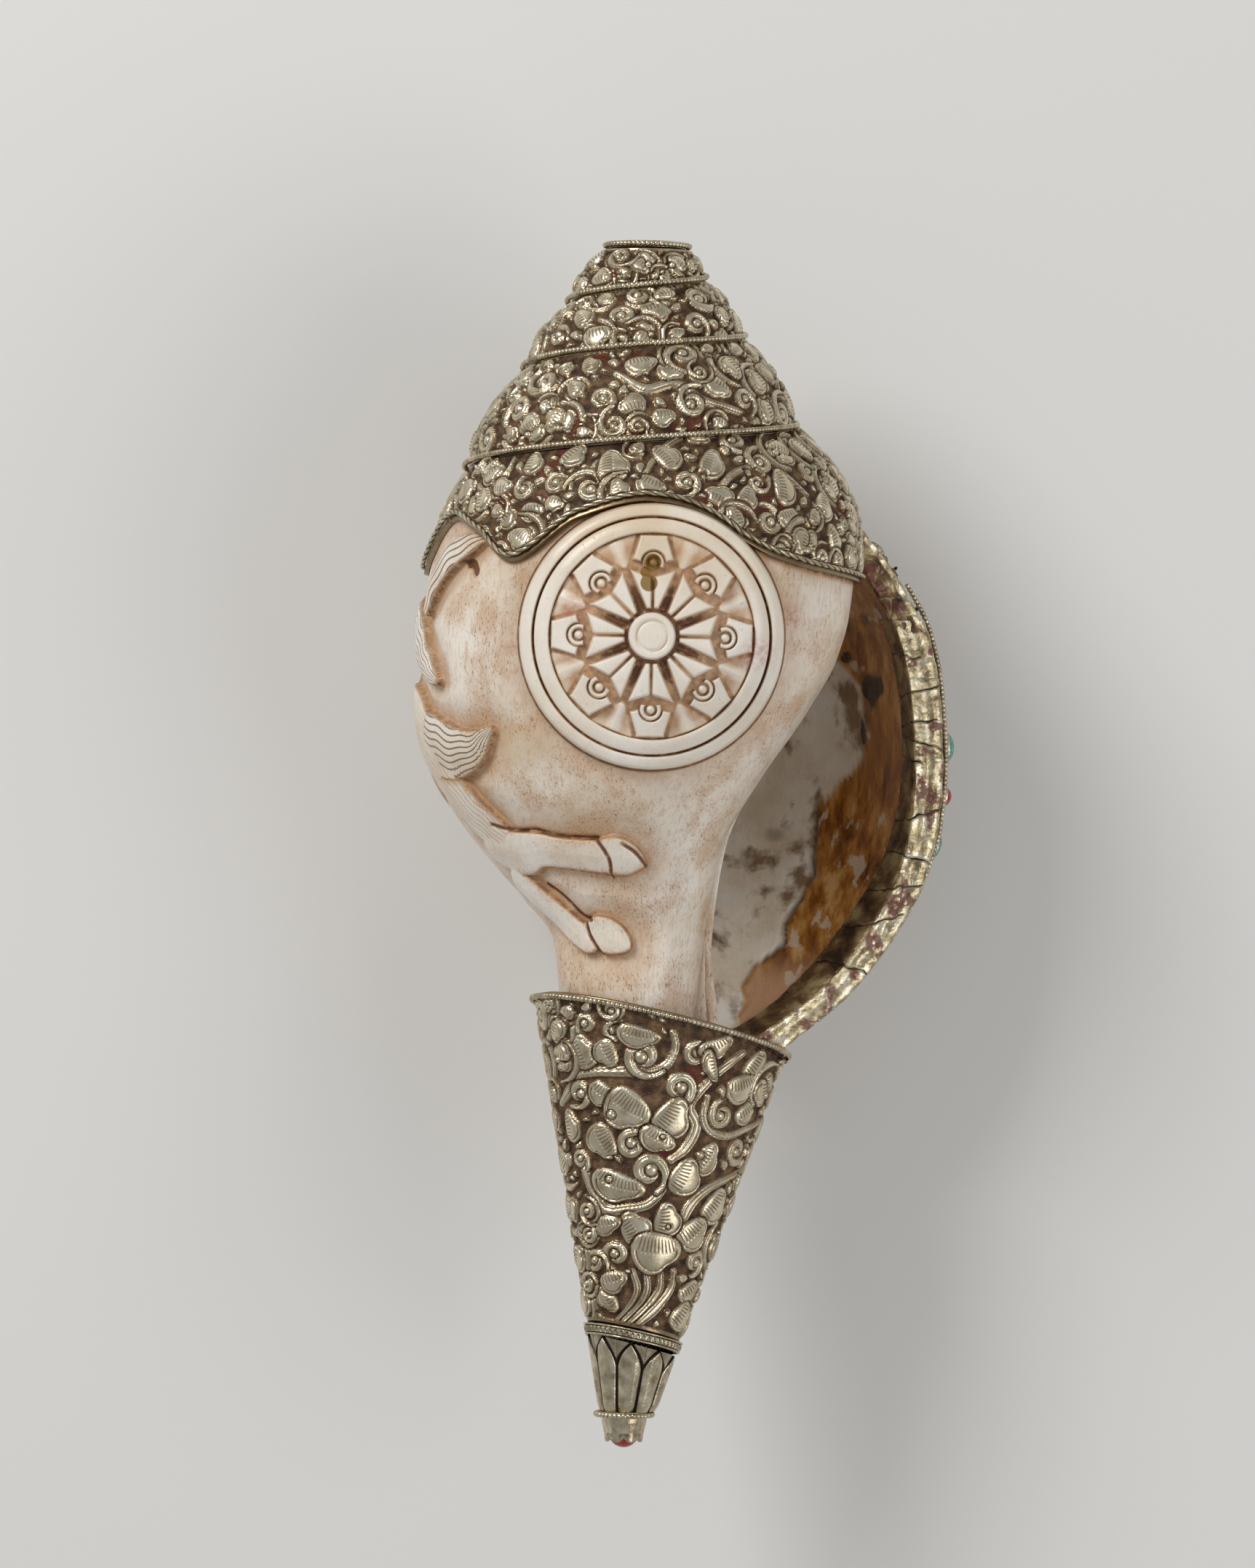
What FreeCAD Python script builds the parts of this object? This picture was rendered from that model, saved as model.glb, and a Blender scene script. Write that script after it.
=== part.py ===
import FreeCAD, Part
import math
import os
from FreeCAD import Placement, Rotation, Vector

# A ritual conch trumpet: a sacred chank shell, right-handed, with silver mounts bedded in lac.
# It is modelled upright, with the shell's axis along Z, the crown up and the carved wheel facing -Y.
# At the end every piece is laid on its back together: the crown then points along +Y and the wheel up.
#
# Angles run the way the shell grows: 0 at the right, 90 at the front, 180 at the left, 270 at the
# back and 342 at the outer lip. Heights are measured from the tip of the coral end bead.

doc = FreeCAD.newDocument("conch_trumpet")
sheet = doc.addObject("Spreadsheet::Sheet", "Sizes")

SIZES = (
    ("ferrule_foot_height", 7.6, "foot of the lotus ferrule, above the coral end bead's tip"),
    ("ferrule_tall", 15.8, "ferrule and milled band"),
    ("sheath_tall", 63.3, "sheath, from the scroll work's foot to the middle of its slanting rim"),
    ("last_whorl_tall", 106.8, "from there to where the outer lip leaves the spire"),
    ("spire_tall", 55, "from there to the mouthpiece's blowing face"),
    ("sheath_foot_height", "=ferrule_foot_height + ferrule_tall", "where the scroll work ends"),
    ("sheath_rim_height", "=sheath_foot_height + sheath_tall", "middle of the sheath's slanting rim"),
    ("lip_top_height", "=sheath_rim_height + last_whorl_tall", "where the outer lip leaves the spire"),
    ("whole_length", "=lip_top_height + spire_tall", "coral end bead to the mouthpiece's blowing face"),
    ("canal_hidden", 28.7, "length of the canal inside the sheath"),
    ("shell_foot_height", "=sheath_rim_height - canal_hidden", "where the canal ends"),
    ("front_radius", 44.2, "largest radius at the right of the front"),
    ("belly_radius", 44.8, "largest radius at the left"),
    ("lip_radius", 66.1, "largest radius at the outer lip"),
    ("suture_radius", 43.8, "outside radius of the last suture, at the lip"),
    ("lip_angle", 342, "degrees round from the right to the outer lip"),
    ("shell_wall", 4.2, "wall of the last whorl"),
    ("mouth_top_drop", 10.5, "top of the body chamber's mouth below the lip's top"),
    ("chamber_top_height", "=lip_top_height - mouth_top_drop", "top of the mouth"),
    ("mouth_foot_drop", 4.2, "foot of the mouth below the sheath's rim, at the lac deck"),
    ("chamber_foot_height", "=sheath_rim_height - mouth_foot_drop", "foot of the mouth"),
    ("chamber_end_drop", 5.5, "middle of the chamber one turn in, below the lip's top"),
    ("chamber_end_height", "=lip_top_height - chamber_end_drop", "its height"),
    ("chamber_end_radius", 21, "its distance from the axis there"),
    ("chamber_end_width", 22, "its width there"),
    ("chamber_end_tall", 30, "its height there"),
    ("passage_bore", 5, "bore radius of the mouthpiece and of the crown below it"),
    ("passage_width", 8.4, "width of the coiled passage where it joins the crown bore"),
    ("passage_drop", 29.5, "where the coiled passage joins the bore, below the blowing face"),
    ("passage_top_height", "=whole_length - passage_drop", "its height"),
    ("sheet_metal", 0.9, "thickness of the raised silver sheet"),
    ("bedding", 0.82, "lac between a silver sheet and the shell"),
    ("seam_gap", 0.1, "gap between two pieces of silver at a seam"),
    ("crown_cut", 8, "how far below the blowing face the shell's crown is cut off"),
    ("crown_ease", 1.3, "how much the crown is thinned under its cap"),
    ("hem_drop", 33.5, "height of the skirt below its suture, where it hangs deepest"),
    ("bead_radius", 0.6, "radius of the beaded wires"),
    ("cord_radius", 0.5, "radius of the twisted hem wire"),
    ("mouth_flange_radius", 8.0, "rim of the mouthpiece"),
    ("mouth_flange_thick", 1.4, "thickness of that rim"),
    ("mouth_cup_radius", 6.8, "blowing cup at the face"),
    ("mouth_cup_depth", 2.4, "depth of the cup"),
    ("mouth_tube_wall", 1.2, "wall of the mouthpiece tube"),
    ("mouth_tube_length", 18, "tube below the rim"),
    ("wheel_radius", 26.4, "carved wheel on the front"),
    ("wheel_drop", 27, "centre of the wheel below the lip's top"),
    ("wheel_height", "=lip_top_height - wheel_drop", "its height"),
    ("wheel_side", 2.4, "its centre's distance to the right of the axis"),
    ("wheel_relief", 2.4, "how far it stands out of the shell"),
    ("wheel_rim", 6.4, "width of its double rim"),
    ("wheel_hub_radius", 4.7, "hub of the wheel"),
    ("wheel_field_depth", 1.2, "how deep the field lies below the rim"),
    ("wheel_spokes", 8, "count of petal spokes"),
    ("wheel_spoke_width", 8.4, "widest part of a spoke"),
    ("binding_thick", 0.6, "silver folded over the lip"),
    ("binding_outside", 2.0, "how far it reaches on the outside"),
    ("binding_inside", 8, "how far it reaches inside the mouth"),
    ("binding_top_drop", 21.5, "where the binding gives way to the folded gusset, below the lip's top"),
    ("binding_top_height", "=lip_top_height - binding_top_drop", "its height"),
    ("gusset_top_drop", 3, "top of the gusset below the lip's top"),
    ("gusset_top_height", "=lip_top_height - gusset_top_drop", "its height"),
    ("wing_width", 30, "width of the jewelled plate behind the lip"),
    ("wing_top_drop", 17.5, "top of that plate below the lip's top"),
    ("wing_top_height", "=lip_top_height - wing_top_drop", "its height"),
    ("wing_foot_rise", 8.3, "foot of that plate above the sheath's rim"),
    ("wing_foot_height", "=sheath_rim_height + wing_foot_rise", "its height"),
    ("stone_drop", 57.8, "middle stone below the lip's top"),
    ("stone_height", "=lip_top_height - stone_drop", "its height"),
    ("stone_pitch", 10.1, "distance between stones"),
    ("stone_setback", 5.9, "distance of the stones behind the lip"),
    ("stone_radius", 2.3, "radius of the round middle stone"),
    ("stone_long_radius", 3.3, "long radius of the two oval stones"),
    ("stone_rise", 3.3, "height of a stone"),
    ("bezel_wall", 0.5, "wall of a stone's setting"),
    ("bezel_tall", 1.7, "height of a stone's setting"),
    ("sheath_rim_width", 54.4, "the sheath's mouth the long way, towards the lip"),
    ("sheath_rim_depth", 44, "the sheath's mouth the short way"),
    ("sheath_foot_width", 20.2, "width there"),
    ("sheath_wall", 1.1, "wall of the sheath"),
    ("deck_depth", 1.6, "how far the lac deck lies below the rim"),
    ("lac_foot_rise", 6.6, "foot of the lac above the scroll work's foot"),
    ("lac_foot_height", "=sheath_foot_height + lac_foot_rise", "its height"),
    ("milled_height", 2.2, "height of the milled band"),
    ("milled_proud", 0.4, "how far it stands out"),
    ("ferrule_foot_width", 12.2, "width of the lotus ferrule there"),
    ("petal_count", 8, "petals round the ferrule"),
    ("cup_top_radius", 5.1, "end cup at the top"),
    ("cup_foot_radius", 3.9, "end cup at the foot"),
    ("cup_foot_height", 1.1, "foot of the end cup"),
    ("cup_wall", 0.7, "wall of the end cup"),
    ("end_bead_radius", 3.1, "radius of the coral end bead"),
    ("lie_roll", 0, "turn about the long axis as it lies, in degrees"),
    ("lie_pitch", 0, "dip of the tip as it lies, in degrees"),
)

for row, (alias, value, note) in enumerate(SIZES, start=1):
    sheet.set(f"A{row}", alias)
    sheet.set(f"B{row}", str(value))
    sheet.set(f"C{row}", note)
    sheet.setAlias(f"B{row}", alias)
doc.recompute()
size = {alias: float(sheet.get(alias)) for alias, value, note in SIZES}

# The suture, by turns: share of the height from the lip's top to the face, and of the last radius.
suture_height_shares = ((0, 1), (0.5, 0.982), (0.75, 0.932), (1, 0.873), (1.5, 0.773), (2, 0.655),
                        (2.5, 0.522), (3, 0.327), (3.5, 0.147), (3.95, 0))
suture_radius_shares = ((0, 0.184), (0.5, 0.2), (0.75, 0.23), (1, 0.266), (1.5, 0.358),
                        (2, 0.455), (2.5, 0.561), (3, 0.707), (3.5, 0.826), (3.7, 0.909),
                        (3.8, 0.945), (3.9, 0.983), (3.95, 1))

# Outlines of the last whorl: share of the way down from the suture to the canal's end, and share
# of the largest radius there.
right_outline_shares = ((0, 0.672), (0.039, 0.822), (0.078, 0.914), (0.127, 0.982), (0.18, 1),
                        (0.257, 0.977), (0.316, 0.923), (0.377, 0.81), (0.472, 0.593),
                        (0.564, 0.416), (0.644, 0.357), (0.733, 0.314), (0.857, 0.26), (1, 0.2))
left_outline_shares = ((0, 0.766), (0.042, 0.846), (0.098, 0.912), (0.175, 0.974), (0.287, 1),
                       (0.371, 0.976), (0.455, 0.895), (0.538, 0.724), (0.622, 0.493),
                       (0.678, 0.371), (0.748, 0.344), (0.846, 0.311), (1, 0.208))
lip_outline_shares = ((0, 0.643), (0.044, 0.765), (0.111, 0.871), (0.177, 0.941), (0.269, 0.983),
                      (0.38, 1), (0.469, 0.991), (0.554, 0.946), (0.642, 0.852), (0.731, 0.708),
                      (0.782, 0.582), (0.83, 0.466), (0.9, 0.382), (1, 0.242))

# How the last whorl opens: it keeps its radius for a share of the turn, then widens to the lip.
last_turn = 3
cap_end = 0.75
lip_turn = last_turn + size["lip_angle"] / 360
opening_start_share = 0.45
swell_share = 1.6
body_curl, canal_curl = 2, 3.5
merge_share = 0.3
early_loss_share = 0.37


def smooth(x):
    """Eases from 0 to 1."""
    x = min(1.0, max(0.0, x))
    return x * x * (3 - 2 * x)


def mix(a, b, share):
    return a + (b - a) * share


def along(points, x):
    """The smooth curve through a table of points, at x. It never overshoots its points."""
    x = min(points[-1][0], max(points[0][0], x))
    steps = [(b[1] - a[1]) / (b[0] - a[0]) for a, b in zip(points, points[1:])]
    i = max(k for k in range(len(points) - 1) if points[k][0] <= x)

    def slope(k):
        if k == 0 or k == len(steps):
            return steps[min(k, len(steps) - 1)]
        before, after = steps[k - 1], steps[k]
        return 0.0 if before * after <= 0 else 2 * before * after / (before + after)

    (x0, y0), (x1, y1) = points[i], points[i + 1]
    span = x1 - x0
    w = (x - x0) / span
    return (y0 * (1 + 2 * w) * (1 - w) ** 2 + y1 * w * w * (3 - 2 * w)
            + span * (slope(i) * w * (1 - w) ** 2 - slope(i + 1) * w * w * (1 - w)))


def suture_height(turn):
    spire = size["whole_length"] - size["lip_top_height"]
    return size["lip_top_height"] + spire * along(suture_height_shares, turn)


def suture_radius(turn):
    """Outside of the silver at the suture."""
    return size["suture_radius"] * along(suture_radius_shares, turn)


def last_whorl_radius(turn, height):
    """Outside of the shell below the suture, on the last whorl."""
    top = suture_height(turn)
    down = (top - height) / (top - size["shell_foot_height"])
    early = 1 - early_loss_share * max(0.0, last_turn - turn)
    right = size["front_radius"] * early * along(right_outline_shares, down)
    left = size["belly_radius"] * along(left_outline_shares, down)
    lip = size["lip_radius"] * along(lip_outline_shares, down)
    opening_start = last_turn + opening_start_share
    opened = max(0.0, (turn - opening_start) / (lip_turn - opening_start))
    swollen = smooth(down / 0.2) * (1 - smooth((down - 0.35) / 0.3))
    even = opened ** mix(body_curl, canal_curl, smooth((down - 0.6) / 0.2))
    full = even * (3 - 2 * opened) + swell_share * even * (1 - opened)
    return mix(right, left, smooth(2 * (turn - last_turn))) + (lip - left) * mix(even, full, swollen)


def whorl_radius(turn, height):
    """Outside of the shell on the whorl that starts at the suture of that turn."""
    if turn >= last_turn:
        return last_whorl_radius(turn, height)
    upper, lower = suture_height(turn), suture_height(turn + 1)
    down = min(1.0, max(0.0, (upper - height) / (upper - lower)))
    bulge = mix(suture_radius(turn), suture_radius(turn + 1), 1 - (1 - down) ** 2)
    bulge -= size["sheet_metal"] + size["bedding"]
    merged = smooth((turn - last_turn + merge_share) / merge_share)
    return mix(bulge, last_whorl_radius(turn, height), merged) if merged else bulge


def shell_radius(angle, height):
    """Outside of the shell, at an angle from a turn before the lip to the lip."""
    turn = last_turn + angle / 360
    while turn > cap_end and height > suture_height(turn):
        turn -= 1
    eased = smooth((height - suture_height(1.75)) / (suture_height(1.25) - suture_height(1.75)))
    return whorl_radius(turn, height) - size["crown_ease"] * eased


def on_shell(angle, radius, height):
    """A point from its angle round the axis, its radius and its height."""
    a = math.radians(angle)
    return Vector(radius * math.cos(a), -radius * math.sin(a), height)


def spread(start, end, count):
    """Evenly spaced values, both ends included."""
    return [start + (end - start) * i / (count - 1) for i in range(count)]


def spline(points, closed=False):
    """A smooth curve with evenly spaced knots, so that its neighbours in a loft share them."""
    curve = Part.BSplineCurve()
    knots = spread(0, 1, len(points) + closed)
    curve.interpolate(Points=points, PeriodicFlag=closed, Parameters=knots)
    return curve.toShape()


def outline(points):
    return Part.Wire(Part.makePolygon(points + points[:1]).Edges)


def loft(wires, ruled=False):
    made = Part.makeLoft(wires, True, ruled)
    if made.Volume < 0:
        made.reverse()
    return made


def strip(turns, top, foot, outside, thick, rows=7):
    """A sheet on the shell, from a section at each turn. outside gives its outer radius."""
    wires = []
    for turn in turns:
        angle = 360 * turn
        heights = spread(top(turn), foot(turn), rows)
        outer = [on_shell(angle, outside(turn, z), z) for z in heights]
        inner = [on_shell(angle, outside(turn, z) - thick, z) for z in reversed(heights)]
        edges = [spline(outer), Part.makeLine(outer[-1], inner[0]),
                 spline(inner), Part.makeLine(inner[-1], outer[0])]
        wires.append(Part.Wire(edges))
    return loft(wires)


def wire_along(points, radius, closed=False):
    """A wire through a row of points, with eight sides that start at the one facing outward."""
    count = len(points)
    rings = []
    for i, point in enumerate(points):
        before = points[i - 1] if i or closed else points[0]
        after = points[(i + 1) % count] if i < count - 1 or closed else points[-1]
        ahead = after.sub(before).normalize()
        outward = Vector(point.x, point.y, 0)
        outward = outward.sub(ahead * outward.dot(ahead)).normalize()
        across = ahead.cross(outward)
        turns = [math.pi * k / 4 for k in range(8)]
        rings.append(outline([point + outward * (radius * math.cos(a)) + across * (radius * math.sin(a))
                              for a in turns]))
    if closed:
        rings.append(rings[0])
    return loft(rings)


parts = []


def keep(shape, label):
    """Stores a finished shape as a sub-part of its own."""
    made = doc.addObject("Part::Feature", label)
    made.Label = label
    made.Shape = shape
    parts.append(made)
    return made


# Chank shell

lip_start = size["lip_angle"] - 360
lip_out = on_shell(size["lip_angle"], 1, 0)
beyond = on_shell(size["lip_angle"] + 90, 1, 0)
crown_height = size["whole_length"] - size["crown_cut"]
least_step = 2 * size["seam_gap"]
height_steps, turn_steps = 76, 61


def whorl_section(height, extra=0.0):
    """The shell's outline at a height: round from the last whorl's start to the lip, then in."""
    angles = spread(lip_start, size["lip_angle"], turn_steps)
    radii = [shell_radius(a, height) + extra for a in angles]
    radii[-1] = max(radii[-1], radii[0] + least_step)
    points = [on_shell(a, r, height) for a, r in zip(angles, radii)]
    points[0] += beyond * extra
    points[-1] += beyond * extra
    return Part.Wire([spline(points), Part.makeLine(points[-1], points[0])])


# The chamber, by turns in from the lip: height of its foot, of its top, and shares of the way from
# the mouth's walls to the passage's. The squareness is 4 for a round-cornered mouth and 2 for a circle.
mouth_square, passage_square = 4, 2
side_shares = (0, 0.015, 0.07, 0.18, 0.34, 0.5, 0.66, 0.82, 0.93, 0.985, 1)
foot_rise_share = 2.2
passage_radius_shares = ((1, 1), (1.5, 0.64), (2, 0.38), (2.4, 0.26))
passage_width_shares = ((1, 1), (1.5, 0.545), (2, 0.42), (2.4, 0.38))
passage_tall_shares = ((1, 1), (1.5, 0.467), (2, 0.3), (2.4, 0.28))
passage_rise_shares = ((1, 0), (1.5, 0.5), (2, 0.82), (2.4, 1))
ledge = size["seam_gap"] * 2


def chamber_section(turns_in):
    """Foot, top and squareness of the chamber, and the radii of its walls at a height."""
    end_foot = size["chamber_end_height"] - size["chamber_end_tall"] / 2
    end_top = size["chamber_end_height"] + size["chamber_end_tall"] / 2
    end_in = size["chamber_end_radius"] - size["chamber_end_width"] / 2
    end_out = size["chamber_end_radius"] + size["chamber_end_width"] / 2
    inward = min(1.0, max(0.0, turns_in))
    foot = mix(size["chamber_foot_height"], end_foot, 1 - (1 - inward) ** foot_rise_share)
    top = mix(size["chamber_top_height"], end_top, inward)
    square = mix(mouth_square, passage_square, smooth(inward))

    def walls(height):
        turn = lip_turn - inward
        inner = mix(whorl_radius(lip_turn - 1, height) + ledge, end_in, inward)
        outer = mix(whorl_radius(turn, height) - size["shell_wall"], end_out, inward ** 2)
        return inner, max(outer, inner + size["shell_wall"])

    return foot, top, square, walls


def chamber_wire(turns_in):
    """The chamber's outline in the half plane that lies so many turns in from the lip."""
    angle = size["lip_angle"] - 360 * turns_in
    foot, top, square, walls = chamber_section(turns_in)
    if turns_in > 1:
        radius = size["chamber_end_radius"] * along(passage_radius_shares, turns_in)
        half_width = size["chamber_end_width"] / 2 * along(passage_width_shares, turns_in)
        half_tall = size["chamber_end_tall"] / 2 * along(passage_tall_shares, turns_in)
        middle = mix(size["chamber_end_height"], size["passage_top_height"],
                     along(passage_rise_shares, turns_in))
        foot, top = middle - half_tall, middle + half_tall

    def point(share, side):
        height = mix(foot, top, share)
        bulge = max(0.0, 1 - abs(2 * share - 1) ** square) ** (1 / square)
        if turns_in > 1:
            return on_shell(angle, radius + side * half_width * bulge, height)
        inner, outer = walls(height)
        return on_shell(angle, (inner + outer) / 2 + side * (outer - inner) / 2 * bulge, height)

    outward = [point(share, 1) for share in side_shares]
    inward = [point(share, -1) for share in reversed(side_shares[1:-1])]
    return Part.Wire([spline(outward + inward, closed=True)])


def chamber_outer_radius(angle, height):
    """Outer wall of the chamber near the lip."""
    turns_in = (size["lip_angle"] - angle) / 360
    foot, top, square, walls = chamber_section(turns_in)
    share = min(1.0, max(0.0, (height - foot) / (top - foot)))
    inner, outer = walls(height)
    bulge = max(0.0, 1 - abs(2 * share - 1) ** square) ** (1 / square)
    return (inner + outer) / 2 + (outer - inner) / 2 * bulge


def make_conch_shell():
    heights = spread(size["shell_foot_height"], crown_height, height_steps)
    shell = loft([whorl_section(z) for z in heights])
    beyond_lip = -0.006
    chamber = loft([chamber_wire(beyond_lip)] + [chamber_wire(t / 18) for t in range(18)]
                   + [chamber_wire(t / 16) for t in range(16, 39)])
    tube_radius = size["passage_bore"] + size["mouth_tube_wall"] + size["seam_gap"]
    tube_end = size["whole_length"] - size["mouth_flange_thick"] - size["mouth_tube_length"]
    up = Vector(0, 0, 1)
    joint = size["passage_top_height"] - size["passage_bore"]
    bore = Part.makeCylinder(size["passage_bore"], size["whole_length"] - joint, Vector(0, 0, joint), up)
    seat = Part.makeCylinder(tube_radius, size["whole_length"] - tube_end,
                             Vector(0, 0, tube_end - size["seam_gap"]), up)
    shell = shell.cut(chamber)
    shell = shell.cut(bore.fuse(seat))
    return shell


def plate_layer(low, high):
    """The shell's surface as a layer between two offsets, as tall as the wheel."""
    reach = size["wheel_radius"] + size["wheel_relief"]
    heights = spread(size["wheel_height"] - reach, size["wheel_height"] + reach, 17)
    return loft([whorl_section(z, high) for z in heights]).cut(loft([whorl_section(z, low) for z in heights]))


def wheel_prism(radius, hole=0.0):
    front = Vector(size["wheel_side"], 0, size["wheel_height"])
    toward = Vector(0, -1, 0)
    reach = size["belly_radius"] + size["shell_wall"] + size["wheel_relief"]
    disc = Part.makeCylinder(radius, reach, front, toward)
    return disc.cut(Part.makeCylinder(hole, reach, front, toward)) if hole else disc


def spoke_prism(angle):
    """A petal spoke: narrow at the hub, widest at two thirds, and a block at the rim."""
    outline_shares = ((0.15, 0.3), (0.62, 0.5), (0.68, 0.28), (0.7, 0.4), (0.8, 0.5))
    field = size["wheel_radius"] - size["wheel_rim"] / 2
    half = [(along_share * size["wheel_radius"], wide_share * size["wheel_spoke_width"])
            for along_share, wide_share in outline_shares]
    half[-1] = (field, half[-1][1])
    spots = half + [(a, -w) for a, w in reversed(half)]
    c, s = math.cos(math.radians(angle)), math.sin(math.radians(angle))
    flat = [Vector(size["wheel_side"] + a * c - w * s, 0, size["wheel_height"] + a * s + w * c)
            for a, w in spots]
    reach = size["belly_radius"] + size["shell_wall"] + size["wheel_relief"]
    return Part.Face(outline(flat)).extrude(Vector(0, -reach, 0))


def make_wheel():
    """The wheel carved on the front, as raised layers that sink into the shell's wall."""
    sink = -size["shell_wall"] / 4
    field = plate_layer(sink, size["wheel_relief"] - size["wheel_field_depth"])
    top = plate_layer(sink, size["wheel_relief"])
    raised = wheel_prism(size["wheel_radius"], size["wheel_radius"] - size["wheel_rim"])
    raised = raised.fuse(wheel_prism(size["wheel_hub_radius"]))
    count = int(size["wheel_spokes"])
    for i in range(count):
        raised = raised.fuse(spoke_prism(90 + 360 * i / count))
    middle = wheel_prism(size["wheel_radius"] - size["wheel_rim"] / 2)
    return top.common(raised).fuse(field.common(middle))


keep(make_conch_shell().fuse(make_wheel()).removeSplitter(), "conch_shell")

# Spire silver

flange_foot = size["whole_length"] - size["mouth_flange_thick"] - size["seam_gap"]
half_gap = size["seam_gap"] / 2
first_turn = cap_end - 1
skirt_start = lip_turn - 1
back_seam = last_turn + 0.45

# The skirt's hem, by turns: share of its deepest drop below the suture, in scallops.
hem_shares = ((2.95, 1), (3, 0.97), (3.1, 0.86), (3.15, 0.75), (3.18, 0.62), (3.25, 0.37), (3.3, 0.45),
              (3.35, 0.69), (3.39, 0.5), (3.44, 0.37), (3.53, 0.64), (3.61, 0.37), (3.7, 0.64),
              (3.78, 0.37), (3.87, 0.46), (3.95, 0.35))


def silver_radius(turn, height):
    """Outside of the silver sheet on the spire and on the skirt."""
    return whorl_radius(turn, height) + size["bedding"] + size["sheet_metal"]


def band_top(turn):
    return min(flange_foot, suture_height(turn) - half_gap)


def band_foot(turn):
    return suture_height(turn + 1) + half_gap


def hem_height(turn):
    """The skirt's lower edge: scalloped, and lifted over the top of the wheel."""
    height = suture_height(turn) - size["hem_drop"] * along(hem_shares, turn)
    angle = 360 * (turn - last_turn)
    side = (size["belly_radius"] + size["wheel_relief"]) * math.cos(math.radians(angle))
    clear_radius = size["wheel_radius"] + 2 * size["cord_radius"]
    reach = clear_radius ** 2 - (side - size["wheel_side"]) ** 2
    if 0 < angle < 180 and reach > 0:
        height = max(height, size["wheel_height"] + math.sqrt(reach))
    return height


def strip_turns(start, end, per_turn=24):
    return spread(start, end, max(4, round((end - start) * per_turn) + 1))


seam = size["seam_gap"] / (2 * math.pi * size["suture_radius"])
bands = (("spire_cap", first_turn, first_turn + 1), ("spire_band_1", first_turn + 1, first_turn + 2),
         ("spire_band_2", first_turn + 2, first_turn + 3), ("spire_band_3", first_turn + 3, skirt_start))
for label, start, end in bands:
    turns = strip_turns(start + seam, end - seam)
    keep(strip(turns, band_top, band_foot, silver_radius, size["sheet_metal"]), label)
for label, start, end in (("skirt_front", skirt_start, back_seam), ("skirt_back", back_seam, lip_turn)):
    turns = strip_turns(start + seam, end - seam, per_turn=64)
    keep(strip(turns, band_top, hem_height, silver_radius, size["sheet_metal"]), label)


def suture_wire_point(turn):
    out = suture_radius(turn) + size["bead_radius"] + size["bedding"]
    return on_shell(360 * turn, out, suture_height(turn) + size["bead_radius"])


def hem_wire_point(turn):
    height = hem_height(turn) + size["cord_radius"]
    out = silver_radius(turn, height) + size["cord_radius"] + 3 * size["seam_gap"]
    return on_shell(360 * turn, out, height)


wire_start = 0.62
keep(wire_along([suture_wire_point(t) for t in spread(wire_start, lip_turn, 134)],
                size["bead_radius"]), "suture_wire")
keep(wire_along([hem_wire_point(t) for t in spread(skirt_start + seam, lip_turn - seam, 110)],
                size["cord_radius"]), "skirt_hem_wire")

# Lip silver

fold_gap = size["bedding"] / 2
outside_angle = math.degrees(size["binding_outside"] / size["lip_radius"])
inside_angle = math.degrees(size["binding_inside"] / size["lip_radius"])


def rim_height_at(x, y, middle):
    """Height of the sheath's slanting planes: they fall to the right and rise to the front."""
    centre = sheath_centre(middle)
    return middle - rim_slope_share * (x - centre.x) - rim_rise_share * (y - centre.y)


rim_slope_share = 0.196
rim_rise_share = 0.16
lean_share = 0.1
back_share = 0.03


def sheath_centre(height):
    """The sheath leans to the lip and to the back as it rises from its tip."""
    back = Vector(0, 0, 1).cross(lip_out)
    return lip_out * (lean_share * height) + back * (back_share * height) + Vector(0, 0, height)


def binding_section(height):
    """A channel over the lip's edge: outside leg, face and inside leg."""
    lip = size["lip_angle"]
    thick = size["binding_thick"]

    def out(angle, extra):
        return on_shell(angle, shell_radius(angle, height) + fold_gap + extra, height)

    def within(angle, extra):
        return on_shell(angle, chamber_outer_radius(angle, height) - 3 * fold_gap - extra, height)

    return outline([out(lip - outside_angle, thick), out(lip, thick) + beyond * (fold_gap + thick),
                    within(lip, thick) + beyond * (fold_gap + thick), within(lip - inside_angle, thick),
                    within(lip - inside_angle, 0), within(lip, 0) + beyond * fold_gap,
                    out(lip, 0) + beyond * fold_gap, out(lip - outside_angle, 0)])


def make_gusset():
    """The foil folded flat over the top corner of the mouth."""
    low = size["binding_top_height"] + size["seam_gap"]
    top = size["gusset_top_height"]
    peak = size["chamber_top_height"] + fold_gap
    lip = size["lip_angle"]
    outer = [on_shell(lip, shell_radius(lip, z), z) for z in spread(low, top, 7)]
    clear = size["bedding"] + size["sheet_metal"] + 2 * size["cord_radius"] + size["bedding"]
    inner = [on_shell(lip, shell_radius(lip_start, z) + clear, z)
             for z in spread(top - size["binding_thick"], peak, 4)]
    middle = [on_shell(lip, (shell_radius(lip_start, peak) + shell_radius(lip, peak)) / 2, peak)]
    mouth = [on_shell(lip, chamber_outer_radius(lip, z) - fold_gap, z)
             for z in spread(size["chamber_top_height"] - size["seam_gap"], low, 9)]
    flat = [point + beyond * fold_gap for point in outer + inner + middle + mouth]
    return Part.Face(outline(flat)).extrude(beyond * size["binding_thick"])


binding_foot = size["sheath_rim_height"] + size["deck_depth"]
keep(loft([binding_section(z) for z in spread(binding_foot, size["binding_top_height"], 12)]), "lip_binding")
keep(make_gusset(), "lip_gusset")

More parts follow.
